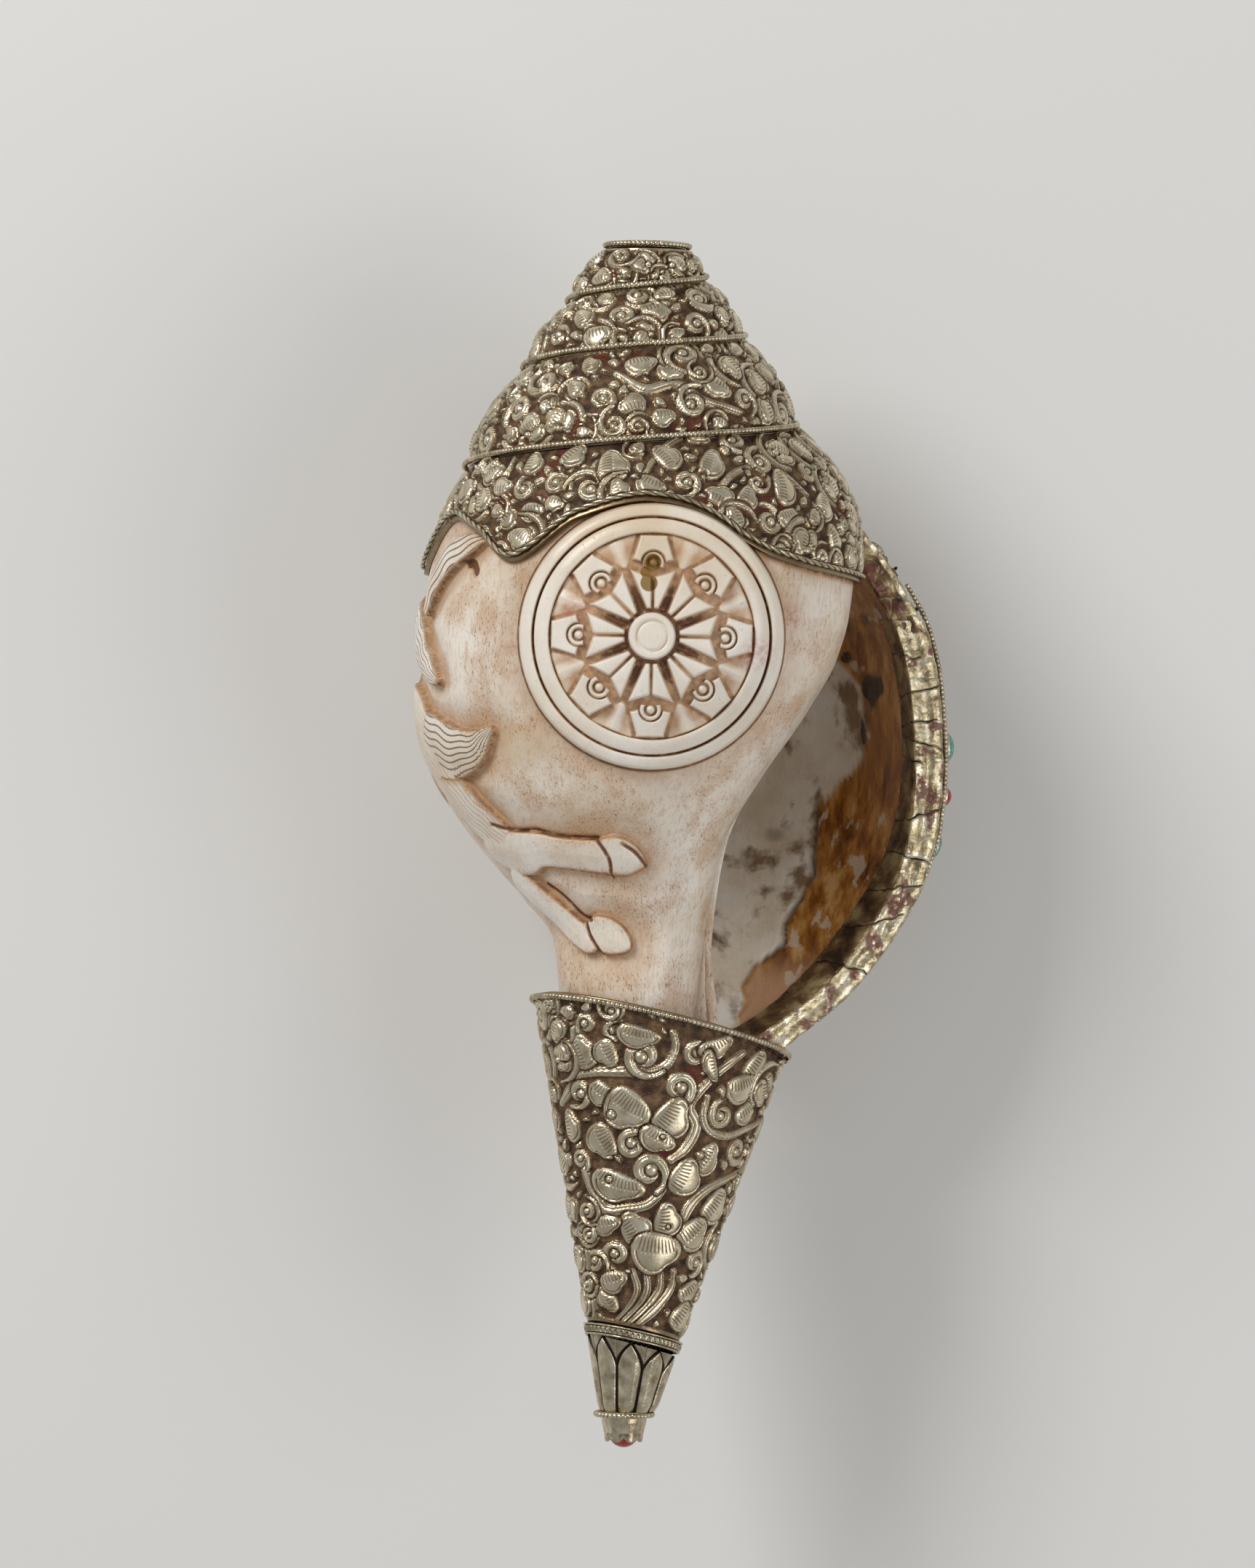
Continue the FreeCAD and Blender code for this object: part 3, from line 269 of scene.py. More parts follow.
class Chasing:
    """Raised work on a surface. rise is in millimetres. ground, cut and stroke tell the finish where
    the low ground, the cut lines and the fine hatching are, and phase runs across the hatching."""

    def __init__(self, spots, normals):
        self.shape = spots.shape[:2]
        self.spots, self.normals = spots.reshape(-1, 3), normals.reshape(-1, 3)
        count = len(self.spots)
        self.rise, self.ground = np.zeros(count), np.ones(count)
        self.cut, self.stroke, self.phase = np.zeros(count), np.zeros(count), np.zeros(count)
        self.placed = []

    def at(self, place):
        """The point of the surface seen from the front at (x, z)."""
        x, z = place
        off = (self.spots[:, 0] - x) ** 2 + (self.spots[:, 2] - z) ** 2
        i = np.argmin(np.where(self.normals[:, 1] < -0.06, off, 1e6))
        v, n = self.spots[i], self.normals[i]
        if off[i] > 4:
            return v
        step = np.clip((n[0] * (x - v[0]) + n[2] * (z - v[2])) / min(n[1], -0.25), -1, 1)
        return np.array([x, v[1] - step, z])

    def frame(self, centre):
        """The nearest point, and the ways right and up along the surface."""
        i = np.argmin(((self.spots - centre) ** 2).sum(1))
        n = self.normals[i]
        up = np.array([0.0, 0, 1]) - n * n[2]
        up /= max(1e-6, np.linalg.norm(up))
        return self.spots[i], np.cross(up, n), up

    def near(self, centre, reach):
        """Numbers of the points within reach of a place."""
        return np.nonzero(((self.spots - centre) ** 2).sum(1) < reach * reach)[0]

    def stamp(self, near, inside, gap, height, moat=0.5):
        """Lays a raised form over what is there, with a narrow moat round it. gap is the distance
        outside its edge."""
        around = (~inside) & (gap < moat)
        fall = smooth(gap[around] / moat)
        k = near[around]
        self.rise[k] *= 0.15 + 0.85 * fall
        self.ground[k] = np.maximum(self.ground[k], 1 - 0.8 * fall)
        self.stroke[k] *= fall
        self.cut[k] *= fall
        k = near[inside]
        self.rise[k] = height[inside]
        self.ground[k] = self.cut[k] = self.stroke[k] = 0
        return k

    def leaf(self, centre, long, short, turn, bend=0.0, side=1, high=1.0, hatch=1.0):
        """A domed leaf: egg-shaped, bent, with a line inside its edge and a comb of strokes."""
        base, right, up = self.frame(centre)
        near = self.near(centre, 1.7 * long)
        d = self.spots[near] - centre
        x, y = d @ right, d @ up
        c, s = math.cos(math.radians(turn)), math.sin(math.radians(turn))
        a, b = (x * c + y * s) / long, -x * s + y * c
        b = b - bend * long * (a * a - 0.3)
        wide = short * (1 - 0.2 * np.clip(a, -1, 1))
        notch = np.arctan2(b / wide * side, a) + 1.0
        q = np.sqrt(a * a + (b / wide) ** 2) * (1 + 0.24 * np.exp(-(notch / 0.32) ** 2))
        inside = q < 1
        edge = (1 - q) * short
        dome = high * (0.42 + 0.58 * np.sqrt(np.maximum(0, 1 - q ** 3.2)))
        k = self.stamp(near, inside, -edge, dome)
        e, aa, bb = edge[inside], a[inside], (b / wide)[inside] * side
        line = np.exp(-((e - 0.22 * short) / 0.17) ** 2) * smooth((0.3 - bb) * 3)
        self.cut[k] = 0.9 * line
        self.rise[k] -= 0.24 * line
        comb = smooth((e - 0.16) / 0.12) * smooth((bb + 0.05) / 0.15) * smooth((0.8 - np.abs(aa)) / 0.1)
        self.stroke[k] = hatch * comb * smooth((0.85 - bb) * 4)
        self.phase[k] = aa * long * (1 + 0.35 * bb)
        self.placed.append((base, 0.5 * (long + short)))

    def bud(self, centre, radius, high):
        """A ball."""
        near = self.near(centre, radius + 0.8)
        q = np.sqrt(((self.spots[near] - centre) ** 2).sum(1)) / radius
        ball = high * (0.25 + 0.75 * np.sqrt(np.maximum(0, 1 - q * q)))
        self.stamp(near, q < 1, (q - 1) * radius, ball, 0.4)
        self.placed.append((self.frame(centre)[0], radius))

    def settle(self, path):
        """Draws a path of points onto the surface."""
        middle = (path.max(0) + path.min(0)) / 2
        near = self.near(middle, np.sqrt(((path - middle) ** 2).sum(1)).max() + 3)
        spots, normals = self.spots[near], self.normals[near]
        i = np.array([np.argmin(((spots - p) ** 2).sum(1)) for p in path])
        return path - normals[i] * ((path - spots[i]) * normals[i]).sum(1, keepdims=True)

    def ribbon(self, path, wide, tip, high, line, start):
        """A raised stem with a line down its middle, from a share of its width to another at its tip."""
        middle = (path.max(0) + path.min(0)) / 2
        reach = np.sqrt(((path - middle) ** 2).sum(1)).max() + wide + 1
        near = self.near(middle, reach)
        spots = self.spots[near]
        best, where = np.full(len(near), 1e6), np.zeros(len(near))
        for i, (a, b) in enumerate(zip(path, path[1:])):
            ab = b - a
            t = clamp(((spots - a) @ ab) / max(1e-9, ab @ ab))
            d = ((spots - a - t[:, None] * ab) ** 2).sum(1)
            less = d < best
            best = np.where(less, d, best)
            where = np.where(less, (i + t) / (len(path) - 1), where)
        d = np.sqrt(best)
        w = wide * mix(start, 1, smooth(where / 0.3)) * mix(1, tip, where)
        q = d / w
        inside = q < 1
        height = high * mix(1, 0.8, where) * (0.25 + 0.75 * np.sqrt(np.maximum(0, 1 - q ** 2)))
        k = self.stamp(near, inside, d - w, height, 0.45)
        groove = np.exp(-((q[inside] - 0.42) / 0.15) ** 2) * line * (w[inside] > 0.5)
        self.cut[k] = groove
        self.rise[k] -= 0.16 * groove

    def scroll(self, centre, radius, turn, hand, tail, turns=1.05, high=1.15):
        """A volute: a thick stem that tapers in from outside, winds round and ends in a ball. turn is
        where it starts, hand 1 winds anticlockwise and tail is how many turns it comes in from outside."""
        base, right, up = self.frame(centre)
        out = np.linspace(-tail, turns, int(26 * (turns + tail)) + 6)
        a = np.radians(turn) + hand * 2 * np.pi * out
        r = radius * np.where(out > 0, 1 - 0.8 * (out / turns), 1 - 1.5 * out + 2 * out * out)
        path = centre + np.outer(r * np.cos(a), right) + np.outer(r * np.sin(a), up)
        path = self.settle(path)
        self.ribbon(path, 0.42 * radius, 0.85, high, 0.7, 0.4 if tail else 0.8)
        self.bud(path[-1], 0.42 * radius, high)
        self.placed.append((base, 1.3 * radius))

    def smooth_off(self, height, on):
        """A plain stretch of a height, wherever on is 1."""
        self.rise = mix(self.rise, height, on)
        self.ground, self.cut, self.stroke = (
            values * (1 - on) for values in (self.ground, self.cut, self.stroke))

    def stem(self, points, wide, line=0.8, tip=0.6, start=0.6):
        """A smooth stem through a few places on the surface."""
        path = self.settle(curve_through(np.array(points), 8))
        self.ribbon(path, wide, tip, 1.0, line, start)
        for spot in path[::3]:
            self.placed.append((spot, wide))

    def choose(self, room, sizes, tries=900):
        """Picks bare places for motifs, the largest first, in some tries for each size."""
        centres = [p for p, r in self.placed]
        radii = [r for p, r in self.placed]
        chosen = []
        for size in sizes:
            options = np.nonzero(room.ravel() > size * 0.9)[0]
            if len(options) == 0:
                continue
            for i in rng.choice(options, min(tries, 4 * len(options))):
                p = self.spots[i]
                if centres:
                    gap = np.sqrt(((np.array(centres) - p) ** 2).sum(1)) - np.array(radii)
                    if gap.min() < size * (0.96 if size > 1.4 else 0.8):
                        continue
                centres.append(p)
                radii.append(size)
                chosen.append((p, size))
        return chosen

    def fill(self, room, sizes, joined=1.4):
        """Fills the bare places: large motifs with stems curling round them, then small leaves."""
        for part in ([size for size in sizes if size > joined], [size for size in sizes if size <= joined]):
            chosen = self.choose(room, part)
            for p, size in chosen:
                if size > joined:
                    self.curl(p, size)
            self.motifs(chosen, joined)

    def curl(self, p, size):
        """A stem that comes in from beside a motif and curls part of the way round it."""
        right, up = self.frame(p)[1:]
        start, hand, sweep = rng.uniform(0, 360), rng.choice((-1, 1)), rng.uniform(150, 250)
        share = np.linspace(0, 1, 7)
        a = np.radians(start + hand * sweep * share)
        r = size * (1.75 - 0.55 * share ** 0.5)
        spots = p + np.outer(r * np.cos(a), right) + np.outer(r * np.sin(a), up)
        self.stem(spots, 0.27 * size, 0.7, 0.8, 0.3)

    def motifs(self, chosen, joined):
        """Leaves in the small places, and volutes, pairs or sprays in the others."""
        for p, size in chosen:
            turn, hand = rng.uniform(0, 360), rng.choice((-1, 1))
            kind = rng.integers(0, 4)
            if size <= 1.0:
                self.leaf(p, size * 1.15, size * 0.7, turn, 0.2, 1, 0.8, 0.3)
            elif size <= joined:
                self.leaf(p, size * 1.1, size * 0.78, turn, 0.15, 1, 1.0, 0.8)
            elif kind == 0:
                self.scroll(p, size * 0.82, turn, hand, 0.4)
            elif kind == 1:
                self.pair(p, size, turn)
            else:
                self.spray(p, size, turn, hand)

    def spray(self, p, size, turn, hand):
        """A curled leaf: a volute at its shoulder, a broad lobe and a small one."""
        right, up = self.frame(p)[1:]
        c, s = math.cos(math.radians(turn)), math.sin(math.radians(turn))
        along_way, across = right * c + up * s, hand * (-right * s + up * c)
        self.scroll(p - along_way * size * 0.42 + across * size * 0.36, size * 0.42, turn, hand, 0.35)
        self.leaf(p - along_way * size * 0.35 - across * size * 0.5, size * 0.5, size * 0.4,
                  turn + 60 * hand, 0.15, hand)
        self.leaf(p + along_way * size * 0.26, size * 0.92, size * 0.74, turn + 25 * hand, 0.16, hand, 1.35)

    def pair(self, p, size, turn):
        """Two domed lobes side by side on one bud."""
        right, up = self.frame(p)[1:]
        c, s = math.cos(math.radians(turn)), math.sin(math.radians(turn))
        along_way = right * c + up * s
        self.leaf(p - along_way * size * 0.48, size * 0.76, size * 0.58, turn + 100, 0.12, -1, 1.15)
        self.leaf(p + along_way * size * 0.46, size * 0.86, size * 0.64, turn + 75, 0.12, 1, 1.3)
        self.bud(p - along_way * size * 0.04 + (right * -s + up * c) * size * 0.5, size * 0.24, 1.3)


def room_to_edges(spots, sides=True):
    """Distance of each point of a grid from its edges, in millimetres, by rows and by columns."""
    down = np.linalg.norm(np.diff(spots, axis=0), axis=-1)
    run = np.concatenate([np.zeros((1, spots.shape[1])), down.cumsum(0)])
    room = np.minimum(run, run[-1:] - run)
    if sides:
        across = np.linalg.norm(np.diff(spots, axis=1), axis=-1)
        run = np.concatenate([np.zeros((spots.shape[0], 1)), across.cumsum(1)], 1)
        room = np.minimum(room, np.minimum(run, run[:, -1:] - run))
    return room


def chased_sheet(name, spots, work, finish, node, depth=1.05, wrap=False, thick=1.0):
    """A raised sheet: its ground lies a depth below the given surface, and its edges turn in."""
    normals = facing(spots, wrap)
    ground = spots - normals * depth
    chasing = Chasing(ground, normals)
    work(chasing, room_to_edges(spots, not wrap))
    rise = chasing.rise.reshape(chasing.shape)
    top = ground + normals * rise[..., None]
    layers = {"rise": chasing.rise, "ground": chasing.ground, "cut": chasing.cut,
              "stroke": chasing.stroke, "phase": chasing.phase}
    layers = {key: values.reshape(chasing.shape) for key, values in layers.items()}
    pad = ((1, 1), (0, 0)) if wrap else ((1, 1), (1, 1))
    inner = np.pad(top - normals * thick, pad + ((0, 0),), "edge")
    if wrap:
        inner[1:-1] = top
    else:
        inner[1:-1, 1:-1] = top
    layers = {key: np.pad(values, pad, "edge") for key, values in layers.items()}
    quads = grid_faces(*inner.shape[:2], wrap)
    place(make_mesh(name, inner, quads, layers), finish, "silver", node)


# Finishes. Their patterns are sized in millimetres of the real thing.

mm = 1000  # to the metre
smoothly = {"interpolation_type": "SMOOTHSTEP"}
times = {"operation": "MULTIPLY"}


def linear(code):
    """A sRGB hex colour as linear values."""
    channels = [int(code[k:k + 2], 16) / 255 for k in (1, 3, 5)]
    return tuple(c / 12.92 if c <= 0.04045 else ((c + 0.055) / 1.055) ** 2.4 for c in channels) + (1.0,)


def add(tree, kind, sockets=None, out=0, **settings):
    """Adds a node and gives one of its outputs. Sockets are named or numbered, and take a value, a
    hex colour or another node's output."""
    node = tree.nodes.new("ShaderNode" + kind)
    for key, value in settings.items():
        if key == "ramp":
            while len(node.color_ramp.elements) < len(value):
                node.color_ramp.elements.new(0.5)
            for stop, (at, code) in zip(node.color_ramp.elements, value):
                stop.position, stop.color = at, linear(code)
        else:
            setattr(node, key, value)
    for key, value in (sockets or {}).items():
        if isinstance(value, bpy.types.NodeSocket):
            tree.links.new(value, node.inputs[key])
        else:
            node.inputs[key].default_value = linear(value) if isinstance(value, str) else value
    return node.outputs[out] if node.outputs else None


def new_finish(name):
    """An empty material and its tree of nodes."""
    made = bpy.data.materials.new(name)
    made.use_nodes = True
    made.node_tree.nodes.clear()
    return made, made.node_tree


def finish_off(tree, shader, height, distance):
    """Connects the surface, with a bump of a height in metres."""
    bump = add(tree, "Bump", {"Height": height, "Distance": distance, "Strength": 1.0})
    tree.links.new(bump, shader.node.inputs["Normal"])
    tree.links.new(bump, shader.node.inputs["Coat Normal"])
    add(tree, "OutputMaterial", {"Surface": shader})


def paint(tree, colour, *coats):
    """Lays colours over one another. A coat has what it follows, where that starts and is full (or
    None where it is the share itself), how strong the coat gets, its colour, and what holds it back."""
    for follows, start, full, strength, over, *limits in coats:
        share = follows
        if full is not None:
            share = add(tree, "MapRange", {0: follows, 1: start, 2: full, 4: strength}, **smoothly)
        for limit in limits:
            share = add(tree, "Math", {0: share, 1: limit}, **times)
        colour = add(tree, "Mix", {0: share, 6: colour, 7: over}, 2, data_type="RGBA")
    return colour


def carved_chank():
    """Chank shell is dense porcelain-like lime: ivory white, a little light passes into its edges, and
    the hand-polished surface has a soft sheen. Smoke and handling have stained its cuts tan to brown,
    and its pores show as short brown flecks along the growth lines."""
    made, tree = new_finish("carved_chank_shell")
    stain, hair, phase, pink, ochre, shade, clean = (
        add(tree, "Attribute", None, 2, attribute_name=name)
        for name in ("stain", "hair", "phase", "pink", "ochre", "shade", "clean"))
    place_of = add(tree, "NewGeometry")
    growth, fibre, short = (add(tree, "VectorMath", {0: place_of, 1: stretch}, **times)
                            for stretch in ((1.6, 0.3, 1.3), (1.5, 0.4, 1.2), (1, 0.5, 1)))
    cloud, mottle, shade_noise, streak, area, small, large, patchy, blush, pore, swell = (
        add(tree, "TexNoise", {"Vector": way, "Scale": mm / size, "Detail": detail, "Roughness": roughness})
        for way, size, detail, roughness in (
            (place_of, 24, 4, 0.55), (place_of, 9, 6, 0.55), (place_of, 4, 5, 0.55), (growth, 1.3, 4, 0.65),
            (place_of, 9, 3, 0.55), (fibre, 0.4, 2, 0.6), (fibre, 0.75, 2, 0.6), (place_of, 1.6, 4, 0.55),
            (place_of, 1.1, 4, 0.55), (short, 0.9, 2, 0.55), (place_of, 5, 4, 0.55)))
    ivory = add(tree, "ValToRGB", {0: cloud}, ramp=((0.3, "#dfccb0"), (0.47, "#eee3d1"), (0.66, "#f6efe4")))
    handled = add(tree, "Math", {0: 1.0, 1: clean}, operation="SUBTRACT")
    shade_breakup = add(tree, "MapRange", {0: shade_noise, 1: 0.25, 2: 0.7, 3: 0.55, 4: 1.0}, **smoothly)
    flecked = add(tree, "MapRange", {0: area, 1: 0.38, 2: 0.6, 3: 0.15, 4: 0.8}, **smoothly)
    flecked = add(tree, "Math", {0: flecked, 1: handled}, **times)
    uneven = add(tree, "MapRange", {0: patchy, 1: 0.2, 2: 0.62, 3: 0.6, 4: 1.2}, **smoothly)
    stained = add(tree, "Math", {0: stain, 1: uneven}, **times)
    blushed = add(tree, "MapRange", {0: blush, 1: 0.35, 2: 0.65, 3: 0.1, 4: 0.7}, **smoothly)
    # Hair is cut in lines 1.3 mm apart
    lines = add(tree, "Math", {0: phase, 1: 2 * math.pi / 1.3}, **times)
    lines = add(tree, "Math", {0: lines}, operation="SINE")
    lines = add(tree, "MapRange", {0: lines, 1: 0.55, 2: 0.98}, **smoothly)
    lines = add(tree, "Math", {0: lines, 1: hair}, **times)
    # The #c0905f coat on the shade layer is painted shade: tan in the wheel's low places, on the ground round
    # the limbs, round the wheel and under the silver hem, broken up by a noise.
    colour = paint(tree, ivory, (mottle, 0.42, 0.7, 0.62, "#cda37c", handled),
                   (shade, None, None, 1, "#c0905f", shade_breakup), (streak, 0.48, 0.68, 0.45, "#c9a27a", handled),
                   (small, 0.57, 0.66, 1, "#9a744c", flecked), (large, 0.62, 0.71, 1, "#9a744c", flecked),
                   (stained, 0.03, 0.6, 0.8, "#b98a5a"), (stained, 0.5, 1.05, 0.9, "#5c3418"),
                   (lines, None, None, 1, "#5e381c", 0.85), (pink, None, None, 1, "#b4584c", blushed),
                   (ochre, 0.25, 0.45, 0.9, "#8a6414"))
    height = add(tree, "Math", {0: swell, 1: 0.5}, **times)
    height = add(tree, "Math", {0: height, 1: lines}, operation="SUBTRACT")
    pits = add(tree, "MapRange", {0: pore, 1: 0.7, 2: 0.76, 4: 0.4}, **smoothly)
    height = add(tree, "Math", {0: height, 1: pits}, operation="SUBTRACT")
    roughness = add(tree, "MapRange", {0: stained, 1: 0, 2: 0.9, 3: 0.34, 4: 0.6}, **smoothly)
    shader = add(tree, "BsdfPrincipled", {
        "Base Color": colour, "Roughness": roughness, "Subsurface Weight": 0.12,
        "Subsurface Radius": (0.9, 0.6, 0.4), "Subsurface Scale": 0.002, "Coat Weight": 0.12,
        "Coat Roughness": 0.22})
    finish_off(tree, shader, height, 0.00022)
    return made


def mouth_glaze():
    """The mouth's inner glaze is glassy. Beside the lip it has drunk oil and lac, from amber to dark
    brown in streaks along the shell. Deeper in it stays milky with brown blots."""
    made, tree = new_finish("stained_mouth_glaze")
    amber, dark, crease, low = (add(tree, "Attribute", None, 2, attribute_name=name)
                                for name in ("amber", "dark", "crease", "low"))
    place_of = add(tree, "NewGeometry")
    streaks, blots, patches, ripples = (
        add(tree, "VectorMath", {0: place_of, 1: stretch}, **times)
        for stretch in ((2.2, 0.35, 1.2), (1.2, 0.7, 1), (1.6, 0.6, 1), (2, 0.5, 1)))
    streak, cloud, blot, patch, ripple = (
        add(tree, "TexNoise", {"Vector": way, "Scale": mm / size, "Detail": detail, "Roughness": roughness})
        for way, size, detail, roughness in (
            (streaks, 7, 5, 0.6), (place_of, 13, 4, 0.55), (blots, 8, 5, 0.55), (patches, 6, 4, 0.55),
            (ripples, 5, 5, 0.55)))
    oiled = add(tree, "ValToRGB", {0: streak},
                ramp=((0.32, "#5a2d0c"), (0.45, "#9a5d1e"), (0.56, "#c08338"), (0.68, "#dcae72")))
    oiled = paint(tree, oiled, (low, None, None, 1, "#cfa27c"))
    milky = add(tree, "ValToRGB", {0: cloud}, ramp=((0.34, "#ead9c0"), (0.5, "#f6ebd9"), (0.68, "#fdf8ef")))
    # The crease coat is painted shade along the fold at the amber's edge.
    colour = paint(tree, milky, (blot, 0.5, 0.66, 0.85, "#7b5527"), (amber, None, None, 1, oiled),
                   (patch, 0.6, 0.66, 0.75, "#dccdb8", amber), (dark, 0.2, 0.7, 0.92, "#2a1a0e"),
                   (crease, None, None, 1, "#2c1a0d", 0.85))
    roughness = add(tree, "MapRange", {0: streak, 1: 0.3, 2: 0.7, 3: 0.16, 4: 0.34}, **smoothly)
    shader = add(tree, "BsdfPrincipled", {
        "Base Color": colour, "Roughness": roughness, "Subsurface Weight": 0.08,
        "Subsurface Radius": (0.9, 0.5, 0.25), "Subsurface Scale": 0.002, "Coat Weight": 0.4,
        "Coat Roughness": 0.12})
    finish_off(tree, shader, ripple, 0.0003)
    return made


def chased_silver():
    """Old silver sheet raised by hammer: pale champagne grey where fingers keep its tops bright, olive
    brown on its slopes, partly tarnish and partly painted shade, brown to black in the stippled ground,
    with brick-red lac in the hollows."""
    made, tree = new_finish("chased_tarnished_silver")
    ground, cut, stroke, phase, rise = (add(tree, "Attribute", None, 2, attribute_name=name)
                                        for name in ("ground", "cut", "stroke", "phase", "rise"))
    place_of = add(tree, "NewGeometry")
    cloud, breath, soil, patch, stipple, hammer = (
        add(tree, "TexNoise", {"Vector": place_of, "Scale": mm / size, "Detail": detail, "Roughness": 0.55})
        for size, detail in ((3, 4), (6, 3), (2.2, 4), (9, 3), (0.45, 1.5), (1.4, 3)))
    # Hatching is cut 0.8 mm apart, a little coarser than the real strokes, so that it shows
    lines = add(tree, "Math", {0: phase, 1: 2 * math.pi / 0.8}, **times)
    lines = add(tree, "Math", {0: lines}, operation="SINE")
    lines = add(tree, "MapRange", {0: lines, 1: 0.1, 2: 0.8}, **smoothly)
    lines = add(tree, "Math", {0: lines, 1: stroke}, **times)
    lines = add(tree, "Math", {0: lines, 1: 0.75}, **times)
    marks = add(tree, "Math", {0: cut, 1: lines}, operation="MAXIMUM")
    bright = add(tree, "ValToRGB", {0: cloud}, ramp=((0.3, "#b8a88c"), (0.5, "#d8cbae"), (0.7, "#efe5cf")))
    # Painted shade with some tarnish: the lower slopes of the raised work turn olive brown.
    slope = add(tree, "MapRange", {0: rise, 1: 0.4, 2: 0.95, 3: 0.8, 4: 0.0}, **smoothly)
    dirt = add(tree, "ValToRGB", {0: soil}, ramp=((0.35, "#37241a"), (0.52, "#62472f"), (0.7, "#866a4a")))
    dirt = paint(tree, dirt, (patch, 0.58, 0.66, 0.7, "#6b2a1d"))
    cuts = add(tree, "Math", {0: marks, 1: 0.85}, **times)
    dark = add(tree, "Math", {0: ground, 1: cuts}, operation="MAXIMUM")
    colour = paint(tree, bright, (breath, 0.5, 0.75, 0.4, "#93805f"), (slope, None, None, 1, "#7a6140"),
                   (dark, 0.25, 0.8, 1, dirt))
    height = add(tree, "Math", {0: stipple, 1: ground}, **times)
    height = add(tree, "Math", {0: height, 1: 1.4}, **times)
    height = add(tree, "Math", {0: height, 1: marks}, operation="SUBTRACT")
    dents = add(tree, "Math", {0: hammer, 1: 0.35}, **times)
    height = add(tree, "Math", {0: height, 1: dents}, operation="ADD")
    metal = add(tree, "MapRange", {0: dark, 1: 0.3, 2: 0.9, 3: 1.0, 4: 0.35}, **smoothly)
    roughness = add(tree, "MapRange", {0: dark, 1: 0.2, 2: 0.9, 3: 0.3, 4: 0.62}, **smoothly)
    shader = add(tree, "BsdfPrincipled", {"Base Color": colour, "Metallic": metal, "Roughness": roughness})
    finish_off(tree, shader, height, 0.00018)
    return made


def wire_silver():
    """Beaded and milled silver: bright on the beads, black between them."""
    made, tree = new_finish("worn_silver_wire")
    groove = add(tree, "Attribute", None, 2, attribute_name="groove")
    place_of = add(tree, "NewGeometry")
    cloud, wear, scratch = (
        add(tree, "TexNoise", {"Vector": place_of, "Scale": mm / size, "Detail": detail, "Roughness": 0.55})
        for size, detail in ((2.4, 4), (6, 3), (0.9, 3)))
    bright = add(tree, "ValToRGB", {0: cloud}, ramp=((0.32, "#a3957c"), (0.52, "#c9bca0"), (0.7, "#e4dac2")))
    colour = paint(tree, bright, (wear, 0.52, 0.7, 0.5, "#86704e"), (groove, 0.12, 0.42, 1, "#2a1d14"))
    dirt = add(tree, "MapRange", {0: groove, 1: 0.12, 2: 0.42}, **smoothly)
    metal = add(tree, "MapRange", {0: dirt, 3: 1.0, 4: 0.5}, **smoothly)
    roughness = add(tree, "MapRange", {0: dirt, 3: 0.3, 4: 0.55}, **smoothly)
    shader = add(tree, "BsdfPrincipled", {"Base Color": colour, "Metallic": metal, "Roughness": roughness})
    finish_off(tree, shader, scratch, 0.00012)
    return made


def pressed_foil():
    """Thin silver foil pressed over the lip: creased bright metal outside, a bronze-brown stained leg
    inside, and red lac showing at its cracks."""
    made, tree = new_finish("pressed_silver_foil")
    ground, flaked, cut = (add(tree, "Attribute", None, 2, attribute_name=name)
                           for name in ("ground", "flaked", "cut"))
    place_of = add(tree, "NewGeometry")
    cloud, bronze, flake, crease, wrinkle = (
        add(tree, "TexNoise", {"Vector": place_of, "Scale": mm / size, "Detail": detail, "Roughness": 0.55})
        for size, detail in ((2.6, 5), (5, 4), (1.2, 3), (3, 3), (1.1, 4)))
    bright = add(tree, "ValToRGB", {0: cloud}, ramp=((0.34, "#86765a"), (0.5, "#bfb08e"), (0.66, "#e9dfc7")))
    brown = add(tree, "ValToRGB", {0: bronze}, ramp=((0.35, "#3b2a1a"), (0.5, "#74593a"), (0.66, "#ad9a72")))
    broken = add(tree, "MapRange", {0: flake, 1: 0.35, 2: 0.5}, **smoothly)
    red = add(tree, "Math", {0: flaked, 1: broken}, **times)
    colour = paint(tree, bright, (ground, 0.3, 0.8, 1, brown), (red, None, None, 1, "#6b2a20", 0.85),
                   (cut, 0.45, 0.85, 1, "#2a1a12"))
    metal = add(tree, "MapRange", {0: red, 3: 0.95, 4: 0.1}, **smoothly)
    dull = add(tree, "Math", {0: ground, 1: 0.5}, **times)
    metal = add(tree, "Math", {0: metal, 1: dull}, operation="SUBTRACT")
    roughness = add(tree, "MapRange", {0: crease, 1: 0.3, 2: 0.7, 3: 0.24, 4: 0.45}, **smoothly)
    shader = add(tree, "BsdfPrincipled", {"Base Color": colour, "Metallic": metal, "Roughness": roughness})
    finish_off(tree, shader, wrinkle, 0.0002)
    return made


def solid_finish(name, ramp, size, bumps, bump_height, looks):
    """An even finish with clouds of a size and bumps of another, and its shader's own settings."""
    made, tree = new_finish(name)
    place_of = add(tree, "NewGeometry")
    cloud, bump = (
        add(tree, "TexNoise", {"Vector": place_of, "Scale": mm / lump, "Detail": detail, "Roughness": 0.55})
        for lump, detail in ((size, 5), bumps))
    colour = add(tree, "ValToRGB", {0: cloud}, ramp=ramp)
    shader = add(tree, "BsdfPrincipled", {"Base Color": colour, **looks})
    finish_off(tree, shader, bump, bump_height)
    return made


